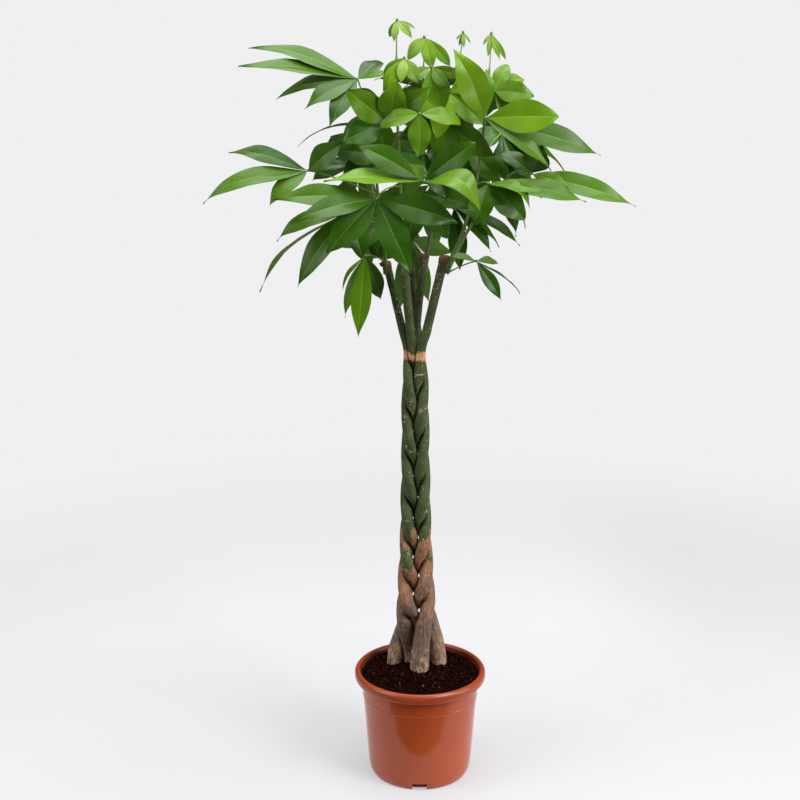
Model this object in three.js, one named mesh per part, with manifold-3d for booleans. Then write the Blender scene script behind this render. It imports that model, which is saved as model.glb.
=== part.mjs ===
// A potted money tree: five green-barked stems plaited into one trunk, standing in dark potting
// soil in a round terracotta-coloured plastic nursery pot, with a crown of hand-shaped leaves.
// Millimetres, +Z up, +X to the viewer's right, the viewer looks along +Y.
// The origin is the middle of the pot's flat underside, on the surface that it stands on.

import * as THREE from "three";
import { mergeVertices } from "three/addons/utils/BufferGeometryUtils.js";
import Module from "manifold-3d";

const wasm = await Module();
wasm.setup();

// Pot
const POT_HEIGHT = 205;
const POT_SIDES = 32;
const RIM_RADIUS = 122.5;
const RIM_DEPTH = 18;
const RIM_WIDTH = 10.5;
const RIM_ROUNDING = 3;
const WALL = 2.2;
const FLOOR = 3;
const NOTCH_COUNT = 4;
const NOTCH_WIDTH = 27;
const NOTCH_HEIGHT = 14;
const NOTCH_DEPTH = 20;

// The wall's outside from the foot to the rim, as [height, radius]: a foot that curves in, a body
// that widens upwards, a wider shoulder for stacking, and the collar under the rim
const POT_WALL = [
  [0, 90.5], [10, 95.2], [26, 97.2], [125, 104.4], [155, 107.7], [POT_HEIGHT - RIM_DEPTH, 110.5],
];

// Soil
const SOIL_LEVEL = 194;
const SOIL_MOUND = 11;
const MOUND_SPREAD = 62;
const SOIL_SIDES = 24;
const SOIL_RINGS = [30, 58, 84];
const SOIL_ROUGHNESS = 2.2;
const SOIL_FOOT_RADIUS = 79.5;
const SOIL_DROP = 4;
const WALL_SPACE = 1.2;
const GAP = 0.35;

// Plaited trunk
const STRANDS = 5;
const STRAND_SIDES = 8;
const STRAND_STEP = 17;
const STRAND_CLEARANCE = 0.3;
const ROOT_LEVEL = 162;
const SOIL_LINE = 203;
const PLAIT_BOTTOM = 296;
const TIE_LEVEL = 800;
const TRUNK_FOOT = [-7, 22];
const TRUNK_TIE = [-11, 8];
const PITCH_LOW = 69;
const PITCH_HIGH = 95;
const PHASE_AT_TIE = -1;
const ROOT_BAND = 12;
const FOOT_EASE = 24;
const SPREAD_BELOW = 10;
const SPREAD_ABOVE = 50;
const THIN_ABOVE = 80;
const PRESSED_FROM = 0.05;
const RING_ABOVE_TIE = 30;
const STRAIGHT_RINGS = [48, 68, 92, 125];
const SHOULDER = 16;

// Heights and sizes of the plait: [height, strand radius], [height, half width], [height, half depth]
const STRAND_RADIUS = [
  [262, 15], [312, 14], [370, 12.6], [450, 11.4], [560, 10.5], [640, 9.9], [760, 9.9], [960, 7.5],
];
const HALF_WIDTH = [
  [262, 25], [316, 23], [394, 21], [430, 19.2], [500, 17.4], [540, 17.4], [600, 16.2], [690, 15.6],
  [745, 14.6], [800, 11],
];
const HALF_DEPTH = [[262, 20], [330, 17], [420, 14.5], [760, 13], [800, 12.5]];

// One row for each stem: foot on the soil beside the trunk's middle, foot radius, cut top, top radius
const STEMS = [
  { name: "stem_back", foot: [-15, 17], footRadius: 14, top: [4, 30, 982], topRadius: 7.4 },
  { name: "stem_left", foot: [7, 31], footRadius: 13, top: [-62, 5, 973], topRadius: 7 },
  { name: "stem_front", foot: [42, 14], footRadius: 15, top: [-32, -35, 984], topRadius: 7.8 },
  { name: "stem_middle", foot: [6, -20], footRadius: 17.5, top: [-20, 52, 955], topRadius: 7 },
  { name: "stem_right", foot: [-40, 14], footRadius: 16, top: [40, -25, 987], topRadius: 8.2 },
];

// A healed top swells and closes: [depth below the cut, share of the radius]. One bears a side knob.
const HEALED = [[6, 1.18], [1, 1.05], [0, 0.7]];
const KNOB_STEM = "stem_left";
const KNOB_SIZE = 0.75;

// Green shoots: each grows out of a cut top and carries leaves
const SHOOT_RADIUS = 3;
const SHOOT_SIDES = 5;
const SHOOT_STEPS = 5;
const SHOOTS = {
  leftFront: {
    stem: 1,
    points: [[-61, 3, 950], [-66, -10, 1015], [-76, -20, 1100], [-84, -22, 1180], [-88, -20, 1235]],
  },
  leftBack: {
    stem: 1,
    points: [[-63, 8, 950], [-78, 55, 1030], [-88, 85, 1110], [-82, 100, 1180]],
  },
  front: {
    stem: 2,
    points: [[-32, -34, 955], [-33, -44, 1040], [-38, -52, 1150], [-43, -50, 1260], [-43, -43, 1320]],
  },
  back: {
    stem: 3,
    points: [[-20, 47, 942], [-14, 58, 1040], [-5, 52, 1150], [0, 14, 1240], [2, -28, 1300]],
  },
  middle: {
    stem: 0,
    points: [[4, 31, 955], [18, 40, 1040], [36, 44, 1150], [54, 30, 1250], [63, 12, 1312]],
  },
  farBack: {
    stem: 0,
    points: [[6, 33, 950], [22, 86, 1030], [34, 120, 1110], [36, 130, 1190]],
  },
  right: {
    stem: 4,
    points: [[41, -25, 962], [72, -38, 1035], [92, -48, 1120], [104, -40, 1210], [112, -22, 1300]],
  },
  farRight: {
    stem: 4,
    points: [[43, -23, 955], [84, -8, 1035], [120, 2, 1090], [148, -18, 1122]],
  },
};

// Leaves
const BLADE_THICKNESS = 0.8;
const BLADE_FOLD = 0.16;
const BLADE_WAVE = 0.05;
const BLADE_WAVES = 2.2;
const BLADE_ARCH = 0.1;
const BLADE_WIDTH = 0.27;
const BLADE_FULLEST = 0.9;
const BLADE_VARIETY = 0.26;
const BLADE_TIP = 0.6;
const TIP_SHARPNESS = 3;
const TIP_BLUNTING = 0.9;
const BLUNT_FROM = 0.32;
const BLUNT_FULLY = 0.46;
const ARCH_POWER = 1.5;
const ARCH_SHARE = 5.38;
const BLADE_START = 0.5;
const FAN_WIDTH = 0.32;
const FAN_SPREAD = 310;
const FAN_JITTER = 16;
const FAN_SHORTEST = 0.82;
const FAN_VARIETY = 0.3;
const BLADE_CLEARANCE = 0.55;
const LONG_BLADE = 104;
const LONG_STATIONS = [0, 0.22, 0.52, 0.82, 1];
const SHORT_STATIONS = [0, 0.33, 0.7, 1];
const ARCHED_FROM = 0.2;
const ARCHED_STATIONS = [0, 0.2, 0.4, 0.6, 0.8, 1];
const HUB_RADIUS = 3.2;
const PETIOLE_RADIUS = 1.5;
const PETIOLE_SIDES = 3;
const PETIOLE_STEPS = 4;
const PETIOLE_RISE = 0.12;
const PETIOLE_REACH = 0.12;
const TIP_REACH = 0.4;
const STALK_CLEARANCE = 0.3;

// Each leaf hangs its leaflets round a hub. face is how its upper side looks, in degrees: 0 to the
// viewer, 90 up, 180 away. A leaflet is [turn, lean, length, width, arch, face]: turn is its
// direction seen from the front, from +X towards +Z, and lean is how far it comes forward.
// A leaf without a list has a fan of leaflets round an axis instead.
const LEAVES = [
  { name: "leaf_top_left", shoot: "leftFront", along: 0.97, hub: [-108, -30, 1284], face: 55, leaflets: [
    [165, 0, 188, 38, 0.09], [174, 14, 200, 36, 0.05], [194, 8, 140, 38, 0.1], [240, 36, 112, 36, 0.1, 35],
    [31, -50, 74, 34, 0.1], [4, 10, 62, 22, 0.1], [209, 30, 112, 38, 0.08, 40]] },
  { name: "leaf_left", shoot: "leftFront", along: 0.5, hub: [-191, -60, 1135], face: 48, leaflets: [
    [168, -4, 137, 36, 0.1], [197, 10, 184, 40, 0.14], [222, 24, 92, 36, 0.12], [38, 18, 80, 42, 0.1, 20],
    [4, -18, 78, 22, 0.08]] },
  { name: "leaf_front_left", shoot: "front", along: 0.42, hub: [-73, -170, 1100], face: 38, leaflets: [
    [180, 8, 165, 42, 0.06], [194, 22, 146, 40, 0.08], [227, 14, 120, 50, 0.08, 20],
    [296, 14, 136, 50, 0.08, 12], [344, 8, 140, 50, 0.08, 25]] },
  { name: "leaf_front", shoot: "right", along: 0.38, hub: [3, -170, 1128], face: 40, leaflets: [
    [180, 2, 160, 46, 0.04, 64], [153, -10, 124, 42, 0.06, 30], [37, 10, 104, 46, 0.05, 20],
    [333, 22, 108, 46, 0.42, 50], [128, 42, 52, 20, 0.1, 30]] },
  { name: "leaf_right", shoot: "farRight", along: 1, hub: [184, -60, 1130], face: 52, leaflets: [
    [343, 6, 182, 42, 0.06, 38], [344, -14, 152, 38, 0.08, 60], [76, 26, 56, 46, 0.1, 10],
    [338, 30, 74, 30, 0.1, 40], [150, -30, 70, 34, 0.1]] },
  { name: "leaf_high_right", shoot: "right", along: 0.72, hub: [103, -80, 1223], face: 42, leaflets: [
    [1, 12, 122, 56, 0.05, 14], [342, -6, 206, 46, 0.05, 30], [116, 18, 128, 52, 0.16, 20],
    [322, 8, 140, 32, 0.08, 50], [325, -18, 184, 28, 0.08, 60], [88, -22, 84, 30, 0.1, 30]] },
  { name: "leaf_high_left", shoot: "front", along: 0.72, hub: [-54, -90, 1212], face: 30, leaflets: [
    [140, 24, 96, 46, 0.08, 8], [80, 28, 82, 48, 0.1, 4], [42, 20, 96, 42, 0.1, 10],
    [194, -6, 158, 26, 0.12, 88], [199, 16, 82, 46, 0.08, 24]] },
  { name: "leaf_low_left", shoot: "leftFront", along: 0.34, hub: [-122, -60, 1069], face: 62, leaflets: [
    [236, -4, 162, 46, 0.08, 44], [223, -12, 224, 34, 0.1, 92], [203, 4, 134, 38, 0.14, 50],
    [285, 20, 86, 40, 0.1], [130, 20, 60, 30, 0.1]] },
  { name: "leaf_low_middle", shoot: "leftBack", along: 0.22, hub: [-60, 30, 1030], face: 40, leaflets: [
    [202, 14, 90, 46, 0.08, 24], [247, 12, 84, 44, 0.08, 24], [298, -14, 84, 40, 0.1],
    [165, -10, 80, 36, 0.1]] },
  { name: "leaf_hanging", shoot: "leftBack", along: 0.1, hub: [-98, -20, 986], face: 30, leaflets: [
    [265, 3, 146, 36, 0.05, 12], [252, -8, 120, 24, 0.06, 60], [238, 14, 74, 12, 0.14, 80],
    [286, -30, 104, 32, 0.08]] },
  { name: "leaf_low_right", shoot: "farRight", along: 0.02, hub: [93, -60, 983], face: 50, leaflets: [
    [172, -6, 46, 18, 0.1, 60], [303, 8, 80, 24, 0.08, 30], [323, -6, 96, 22, 0.06, 88],
    [346, -34, 48, 20, 0.1]] },
  { name: "leaf_under_right", shoot: "farRight", along: 0.4, hub: [56, 22, 1066], face: 60, leaflets: [
    [310, 6, 102, 28, 0.08], [317, -14, 114, 24, 0.08], [330, 8, 134, 28, 0.1],
    [276, -10, 120, 34, 0.06, 30]] },
  { name: "leaf_front_right", shoot: "right", along: 0.45, hub: [108, -110, 1119], face: 42, leaflets: [
    [353, 24, 98, 26, 0.06, 40], [329, 18, 84, 28, 0.32, 60], [316, 0, 86, 48, 0.08, 20],
    [349, -10, 166, 42, 0.06, 48], [310, -16, 106, 24, 0.1, 66], [252, 12, 72, 42, 0.08, 12]] },
  { name: "leaf_inner_left", shoot: "front", along: 0.56, hub: [-62, -50, 1156], face: 30, leaflets: [
    [172, 6, 76, 50, 0.08], [206, 4, 80, 50, 0.08], [100, -8, 66, 40, 0.1], [338, 14, 84, 44, 0.1]] },
  { name: "leaf_inner_right", shoot: "middle", along: 0.45, hub: [78, 0, 1170], face: 30, leaflets: [
    [250, 8, 78, 44, 0.08], [312, 4, 84, 44, 0.08], [200, 10, 70, 40, 0.1], [20, -10, 70, 40, 0.1]] },
  { name: "leaf_olive", shoot: "middle", along: 0.66, hub: [26, -24, 1222], face: 340, leaflets: [
    [327, 10, 122, 50, 0.05], [287, 14, 74, 48, 0.06], [210, 0, 72, 40, 0.08]] },
  { name: "leaf_inner_middle", shoot: "back", along: 0.4, hub: [4, 6, 1160], face: 32, leaflets: [
    [196, 10, 84, 44, 0.08], [244, 14, 86, 44, 0.08], [296, 12, 88, 44, 0.08], [344, 8, 82, 42, 0.08],
    [80, -6, 70, 38, 0.08]] },
  { name: "leaf_inner_top", shoot: "middle", along: 0.8, hub: [44, -34, 1262], face: 24, leaflets: [
    [200, 6, 84, 40, 0.08], [255, 16, 80, 42, 0.08], [318, 6, 90, 42, 0.08], [20, -6, 76, 36, 0.1]] },
  { name: "leaf_inner_low", shoot: "back", along: 0.32, hub: [-4, 12, 1090], face: 34, leaflets: [
    [200, 6, 92, 44, 0.08], [256, 12, 88, 44, 0.08], [302, 8, 92, 44, 0.08], [346, 4, 88, 42, 0.08]] },
  { name: "leaf_far_right", shoot: "right", along: 0.58, hub: [136, 20, 1192], face: 40, leaflets: [
    [303, 2, 92, 42, 0.08], [268, 8, 84, 40, 0.08], [335, -6, 88, 36, 0.1], [50, -20, 70, 36, 0.1]] },
  { name: "leaf_pendant", shoot: "front", along: 0.64, hub: [-4, -132, 1232], face: 350, leaflets: [
    [270, 6, 68, 38, 0.04], [200, -30, 70, 34, 0.1, 40], [345, -20, 74, 34, 0.1, 40]] },
  { name: "leaf_top_right", shoot: "middle", along: 0.9, hub: [124, 50, 1262], face: 40, leaflets: [
    [352, 8, 70, 40, 0.12, 20], [20, -20, 60, 34, 0.1], [60, -30, 58, 30, 0.1], [300, -10, 76, 36, 0.1]] },
  { name: "leaf_behind_stems", shoot: "farBack", along: 0.1, hub: [-18, 112, 998], face: 200, leaflets: [
    [260, 2, 138, 38, 0.06], [285, -4, 126, 34, 0.06], [272, -30, 112, 34, 0.08], [205, -20, 96, 36, 0.1],
    [338, -24, 92, 34, 0.1]] },
  { name: "young_leaf_bright", shoot: "front", along: 0.84,
    hub: [14, -74, 1304], face: 350, young: true, leaflets: [
    [347, 18, 62, 20, 0.14], [285, 14, 76, 46, 0.06], [206, 18, 44, 20, 0.1], [312, 24, 50, 22, 0.12]] },
  { name: "young_leaf_drooping", shoot: "front", along: 0.93,
    hub: [-29, -110, 1319], face: 10, young: true, leaflets: [
    [237, 6, 64, 24, 0.12], [262, 20, 44, 18, 0.1], [299, 8, 46, 22, 0.12], [222, -20, 50, 20, 0.1]] },
  { name: "young_leaf_narrow", shoot: "right", along: 0.93,
    hub: [56, -112, 1309], face: 350, young: true, leaflets: [
    [276, 6, 48, 10, 0.06], [293, 4, 46, 9, 0.08], [250, 10, 30, 8, 0.08], [312, -10, 34, 8, 0.1]] },
  { name: "bud_leaf_left", shoot: "front", along: 1,
    hub: [-42, -40, 1379], face: 20, young: true, leaflets: [
    [262, 12, 37, 13, 0.1], [246, -22, 34, 12, 0.1], [310, 12, 40, 14, 0.1], [334, -12, 35, 6, 0.12]] },
  { name: "bud_leaf_middle", shoot: "back", along: 1, hub: [3, -60, 1352], face: 15, young: true, leaflets: [
    [234, 6, 46, 22, 0.12], [284, 10, 53, 24, 0.08], [308, -6, 38, 7, 0.14], [312, -24, 72, 20, 0.12]] },
  { name: "bud_leaf_right", shoot: "middle", along: 1, hub: [68, 0, 1360], face: 10, young: true, leaflets: [
    [228, 0, 18, 4, 0.16], [273, 10, 28, 7, 0.06], [304, -6, 24, 4, 0.16], [255, -20, 26, 6, 0.08]] },
  { name: "bud_leaf_far_right", shoot: "right", along: 1,
    hub: [115, -10, 1358], face: 10, young: true, leaflets: [
    [234, 0, 25, 6, 0.14], [262, 8, 41, 10, 0.06], [288, 8, 47, 11, 0.08], [300, -8, 53, 9, 0.12]] },
  { name: "leaf_back_top_left", shoot: "leftBack", along: 0.98, hub: [-64, 132, 1228],
    fan: { axis: [-0.35, 0.75, 0.55], count: 5, length: 118, droop: 14 } },
  { name: "leaf_back_left", shoot: "leftBack", along: 0.72, hub: [-112, 158, 1132],
    fan: { axis: [-0.5, 0.75, 0.4], count: 6, length: 132, droop: 18 } },
  { name: "leaf_back_low_left", shoot: "leftBack", along: 0.45, hub: [-92, 136, 1046],
    fan: { axis: [-0.4, 0.8, 0.3], count: 5, length: 124, droop: 20 } },
  { name: "leaf_back_top", shoot: "back", along: 0.8, hub: [10, 106, 1268],
    fan: { axis: [0.05, 0.6, 0.8], count: 5, length: 108, droop: 18 } },
  { name: "leaf_back_middle", shoot: "farBack", along: 0.97, hub: [26, 196, 1186],
    fan: { axis: [0.1, 0.85, 0.5], count: 5, length: 136, droop: 16 } },
  { name: "leaf_back_low", shoot: "farBack", along: 0.62, hub: [14, 206, 1086],
    fan: { axis: [0, 0.9, 0.3], count: 5, length: 130, droop: 18 } },
  { name: "leaf_back_right", shoot: "farBack", along: 0.84, hub: [122, 138, 1120],
    fan: { axis: [0.5, 0.75, 0.4], count: 6, length: 124, droop: 18 } },
  { name: "leaf_back_top_right", shoot: "middle", along: 0.78, hub: [92, 120, 1222],
    fan: { axis: [0.35, 0.7, 0.6], count: 4, length: 112, droop: 16 } },
];

// Swings that a leaflet may take, in degrees, to hang clear of its neighbours, and what each costs
const TURN_SWINGS = [0, 6, -6, 12, -12, 20, -20];
const LEAN_SWINGS = [0, 8, -8, 16, -16, 24, -24, 34, -34, 46, -46];
const SHORTENINGS = [1, 0.86, 0.72];
const SHORTER_COST = 60;
const TURN_COST = 2.5;
const STALK_BOWS = [0, 0.07, -0.07, 0.14, -0.14, 0.22, -0.22, 0.3, -0.3];
const STALK_GAPS = [-0.7, -0.4, -0.1, 0.2, 0.5, 0.9, 1.4, 1.9];

const COLOURS = {
  pot: 0xa3512c,
  soil: 0x1f120b,
  bark: 0x5d5a3c,
  leaf: 0x3f7018,
  young: 0x8fae2e,
};

const degrees = THREE.MathUtils.degToRad;

// A repeatable number from 0 to 1 for the index n.
function wobble(n) {
  const s = Math.sin(n * 12.9898) * 43758.5453;
  return s - Math.floor(s);
}

// The value at height z in a list of [height, value], straight between its rows.
function atHeight(rows, z) {
  if (z <= rows[0][0]) return rows[0][1];
  for (let i = 1; i < rows.length; i += 1) {
    const [z0, v0] = rows[i - 1];
    const [z1, v1] = rows[i];
    if (z <= z1) return v0 + ((v1 - v0) * (z - z0)) / (z1 - z0);
  }
  return rows[rows.length - 1][1];
}

function material(colour, roughness) {
  return new THREE.MeshStandardMaterial({ color: colour, roughness, metalness: 0 });
}

// Closed geometries, and the solids that are joined and cut from them.
function solidOf(geometry) {
  const bare = geometry.index ? geometry.toNonIndexed() : geometry.clone();
  bare.deleteAttribute("normal");
  bare.deleteAttribute("uv");
  const merged = mergeVertices(bare, 1e-4);
  return new wasm.Manifold(new wasm.Mesh({
    numProp: 3,
    vertProperties: new Float32Array(merged.attributes.position.array),
    triVerts: new Uint32Array(merged.index.array),
  }));
}

function geometryOf(solid) {
  const mesh = solid.getMesh();
  const geometry = new THREE.BufferGeometry();
  geometry.setAttribute("position", new THREE.BufferAttribute(new Float32Array(mesh.vertProperties), 3));
  geometry.setIndex(new THREE.BufferAttribute(new Uint32Array(mesh.triVerts), 1));
  return geometry;
}

function joined(solids) {
  return solids.reduce((whole, solid) => whole.add(solid));
}

function meshOf(points, triangles) {
  const geometry = new THREE.BufferGeometry();
  const numbers = points.flatMap((p) => [p.x, p.y, p.z]);
  geometry.setAttribute("position", new THREE.Float32BufferAttribute(numbers, 3));
  geometry.setIndex(triangles);
  return geometry;
}

// A closed skin over rings of points, each seen turning left from above, from the lowest ring up.
function loft(rings) {
  const sides = rings[0].length;
  const points = rings.flat();
  const triangles = [];
  for (let i = 0; i + 1 < rings.length; i += 1) {
    for (let j = 0; j < sides; j += 1) {
      const a = i * sides + j;
      const b = i * sides + ((j + 1) % sides);
      triangles.push(a, b, a + sides, b, b + sides, a + sides);
    }
  }
  const last = (rings.length - 1) * sides;
  for (let j = 1; j + 1 < sides; j += 1) {
    triangles.push(0, j + 1, j, last, last + j, last + j + 1);
  }
  return meshOf(points, triangles);
}

function tube(curve, radius, sides, steps) {
  const section = new THREE.Shape();
  for (let i = 0; i < sides; i += 1) {
    const angle = (2 * Math.PI * i) / sides;
    const point = [radius * Math.cos(angle), radius * Math.sin(angle)];
    if (i === 0) section.moveTo(...point);
    else section.lineTo(...point);
  }
  section.closePath();
  return new THREE.ExtrudeGeometry(section, { steps, bevelEnabled: false, extrudePath: curve });
}

// A profile of [radius, height] turned round the Z axis. It runs up the outside and ends on the axis.
function turned(profile, sides) {
  const points = profile.map(([radius, height]) => new THREE.Vector2(radius, height));
  return new THREE.LatheGeometry(points, sides).rotateX(Math.PI / 2);
}

// Pot: a thin wall on a notched foot, with a rim that stands out from the collar.
function potSolid() {
  const rimFoot = POT_HEIGHT - RIM_DEPTH;
  const [foot, , ...upper] = POT_WALL;
  const inside = upper.map(([height, radius]) => [radius - WALL, height]).toReversed();
  inside[0][1] -= WALL;
  const outline = [
    [0, 0], ...POT_WALL.map(([height, radius]) => [radius, height]), [RIM_RADIUS - 1, rimFoot],
    [RIM_RADIUS, POT_HEIGHT - RIM_ROUNDING], [RIM_RADIUS - RIM_ROUNDING, POT_HEIGHT],
    [RIM_RADIUS - RIM_WIDTH + RIM_ROUNDING, POT_HEIGHT], [RIM_RADIUS - RIM_WIDTH, POT_HEIGHT - RIM_ROUNDING],
    ...inside, [foot[1] - WALL - 1, FLOOR], [0, FLOOR],
  ];
  let pot = solidOf(turned(outline, POT_SIDES));
  for (let i = 0; i < NOTCH_COUNT; i += 1) {
    const notch = new THREE.BoxGeometry(NOTCH_WIDTH, NOTCH_DEPTH, 2 * NOTCH_HEIGHT);
    notch.translate(0, -foot[1], 0);
    notch.rotateZ((2 * Math.PI * i) / NOTCH_COUNT);
    pot = pot.subtract(solidOf(notch));
  }
  return pot;
}

// Soil: fills the pot to a little under the rim, mounded to the trunk, crumbly on top.
function soilLevel(x, y, n) {
  const distance = Math.hypot(x - TRUNK_FOOT[0], y - TRUNK_FOOT[1]);
  const mound = SOIL_MOUND * Math.exp(-((distance / MOUND_SPREAD) ** 2));
  return SOIL_LEVEL + mound + SOIL_ROUGHNESS * (2 * wobble(n) - 1);
}

function soilSolid(stems) {
  const ring = (radius, height, shift) => Array.from({ length: SOIL_SIDES }, (_, i) => {
    const angle = (2 * Math.PI * i) / SOIL_SIDES;
    const x = radius * Math.cos(angle);
    const y = radius * Math.sin(angle);
    return new THREE.Vector3(x, y, height ?? soilLevel(x, y, i + shift));
  });
  const [, , ...upper] = POT_WALL;
  const edges = upper.map(([height, radius]) => ring(radius - WALL - WALL_SPACE, height, 0));
  edges.pop();
  const rings = [
    ring(SOIL_FOOT_RADIUS, FLOOR + GAP, 0), ...edges,
    ring(atHeight(POT_WALL, SOIL_LEVEL) - WALL - WALL_SPACE, SOIL_LEVEL - SOIL_DROP, 0),
    ...SOIL_RINGS.toReversed().map((radius) => ring(radius, undefined, radius * 7)),
  ];
  const points = rings.flat();
  const body = loft(rings);
  const triangles = Array.from(body.index.array).slice(0, -3 * (SOIL_SIDES - 2) * 2);
  const bottom = points.length;
  points.push(new THREE.Vector3(0, 0, FLOOR + GAP), new THREE.Vector3(0, 0, soilLevel(0, 0, 5)));
  const last = (rings.length - 1) * SOIL_SIDES;
  for (let i = 0; i < SOIL_SIDES; i += 1) {
    const next = (i + 1) % SOIL_SIDES;
    triangles.push(bottom, next, i, bottom + 1, last + i, last + next);
  }
  return stems.reduce((soil, stem) => soil.subtract(stem), solidOf(meshOf(points, triangles)));
}

// Trunk. Seen from above, each strand runs along a flat figure of eight: out along the back of the
// plait to its edge, then over the front to the middle, a fifth of a turn behind its neighbour.
function strandPhase(k, z) {
  const growth = (PITCH_HIGH - PITCH_LOW) / (TIE_LEVEL - PLAIT_BOTTOM);
  const pitchAt = (height) => PITCH_LOW + growth * (height - PLAIT_BOTTOM);
  const below = Math.log(pitchAt(TIE_LEVEL) / pitchAt(Math.max(z, PLAIT_BOTTOM))) / growth;
  return (2 * Math.PI * (PHASE_AT_TIE + below + k)) / STRANDS;
}

function smooth(from, to, value) {
  return THREE.MathUtils.smoothstep(value, from, to);
}

function strandCentre(k, z) {
  const { foot, top } = STEMS[k];
  const rise = (z - SOIL_LINE) / (TIE_LEVEL - SOIL_LINE);
  const share = THREE.MathUtils.clamp(rise, 0, 1);
  const middle = [0, 1].map((i) => TRUNK_FOOT[i] + (TRUNK_TIE[i] - TRUNK_FOOT[i]) * share);
  const phase = strandPhase(k, Math.min(z, TIE_LEVEL));
  const plait = [
    middle[0] - atHeight(HALF_WIDTH, z) * Math.cos(phase),
    middle[1] - atHeight(HALF_DEPTH, z) * Math.sin(2 * phase),
  ];
  const toFoot = 1 - smooth(SOIL_LINE, PLAIT_BOTTOM + FOOT_EASE, z);
  const spread = smooth(TIE_LEVEL - SPREAD_BELOW, TIE_LEVEL + SPREAD_ABOVE, z);
  const out = Math.max(0, (z - TIE_LEVEL) / (top[2] - TIE_LEVEL));
  const phaseTop = strandPhase(k, TIE_LEVEL);
  const tied = [
    TRUNK_TIE[0] - atHeight(HALF_WIDTH, TIE_LEVEL) * Math.cos(phaseTop),
    TRUNK_TIE[1] - atHeight(HALF_DEPTH, TIE_LEVEL) * Math.sin(2 * phaseTop),
  ];
  return [0, 1].map((i) => {
    const low = plait[i] + (TRUNK_FOOT[i] + foot[i] - plait[i]) * toFoot;
    const straight = tied[i] + (top[i] - tied[i]) * out;
    return low + (straight - low) * spread;
  });
}

function strandRadius(k, z) {
  const { footRadius, topRadius } = STEMS[k];
  const plain = atHeight(STRAND_RADIUS, z);
  const low = plain + (footRadius - plain) * (1 - smooth(SOIL_LINE, PLAIT_BOTTOM, z));
  return low + (topRadius - low) * smooth(TIE_LEVEL, TIE_LEVEL + THIN_ABOVE, z);
}

// A strand's section at height z: round, and flattened where it presses on its neighbours.
function strandRing(k, z, sides, scale = 1, grow = 0) {
  const [x, y] = strandCentre(k, z);
  const radius = strandRadius(k, z) * scale;
  return Array.from({ length: sides }, (_, i) => {
    const angle = (2 * Math.PI * i) / sides;
    let reach = radius;
    for (let j = 0; j < STRANDS; j += 1) {
      if (j === k || z > STEMS[j].top[2]) continue;
      for (const level of [z - STRAND_STEP / 2, z, z + STRAND_STEP / 2]) {
        const [cx, cy] = strandCentre(k, level);
        const [nx, ny] = strandCentre(j, level);
        const distance = Math.hypot(nx - cx, ny - cy);
        const [ux, uy] = [(nx - cx) / distance, (ny - cy) / distance];
        const wall = ((nx + cx) / 2 - x) * ux + ((ny + cy) / 2 - y) * uy - STRAND_CLEARANCE;
        const cosine = Math.cos(angle) * ux + Math.sin(angle) * uy;
        if (cosine > PRESSED_FROM) reach = Math.min(reach, wall / cosine);
      }
    }
    return new THREE.Vector3(x + (reach + grow) * Math.cos(angle), y + (reach + grow) * Math.sin(angle), z);
  });
}

function strandLevels(k) {
  const top = STEMS[k].top[2];
  const levels = [ROOT_LEVEL, SOIL_LINE - ROOT_BAND];
  const plaited = TIE_LEVEL + RING_ABOVE_TIE - SOIL_LINE;
  const steps = Math.round(plaited / STRAND_STEP);
  for (let i = 0; i <= steps; i += 1) levels.push(SOIL_LINE + (plaited * i) / steps);
  levels.push(...STRAIGHT_RINGS.map((rise) => TIE_LEVEL + rise), top - SHOULDER);
  return levels;
}

function shootCurve(shoot) {
  return new THREE.CatmullRomCurve3(shoot.points.map((p) => new THREE.Vector3(...p)), false, "centripetal");
}

// A stem: its strand of the plait, its cut and healed top, and the green shoots that grow from it.
function stemSolid(k) {
  const { top, topRadius } = STEMS[k];
  const rings = strandLevels(k).map((z) => strandRing(k, z, STRAND_SIDES));
  for (const [depth, scale] of HEALED) {
    rings.push(strandRing(k, top[2] - depth, STRAND_SIDES, scale));
  }
  const solids = [solidOf(loft(rings))];
  for (const shoot of Object.values(SHOOTS)) {
    if (shoot.stem !== k) continue;
    solids.push(solidOf(tube(shootCurve(shoot), SHOOT_RADIUS, SHOOT_SIDES, SHOOT_STEPS)));
  }
  if (STEMS[k].name === KNOB_STEM) {
    const knob = new THREE.IcosahedronGeometry(topRadius * KNOB_SIZE, 0);
    knob.translate(top[0] - topRadius, top[1], top[2] - HEALED[0][0]);
    solids.push(solidOf(knob));
  }
  return joined(solids);
}

// The soil's hole for a stem, a little wider than the stem.
function holeSolid(k) {
  const levels = [ROOT_LEVEL - GAP, SOIL_LINE - ROOT_BAND, SOIL_LINE, SOIL_LINE + STRAND_STEP];
  return solidOf(loft(levels.map((z) => strandRing(k, z, STRAND_SIDES, 1, GAP))));
}

// Leaves. The outline of a leaflet: half its width along its length. It is widest near the middle,
// a little nearer the tip in some. A slim leaflet is drawn out to a drip tip, a broad one is blunt.
function outlineAt(s, { seed, width, length }) {
  const share = Math.min(s, 0.999) ** (BLADE_FULLEST + BLADE_VARIETY * seed);
  const blunt = THREE.MathUtils.clamp((width / length - BLUNT_FROM) / (BLUNT_FULLY - BLUNT_FROM), 0, 1);
  return Math.sin(Math.PI * share) ** (1 + (BLADE_TIP - TIP_BLUNTING * blunt) * s ** TIP_SHARPNESS);
}

function direction(turn, lean) {
  const [a, b] = [degrees(turn), degrees(lean)];
  return new THREE.Vector3(Math.cos(a) * Math.cos(b), -Math.sin(b), Math.sin(a) * Math.cos(b));
}

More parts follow.
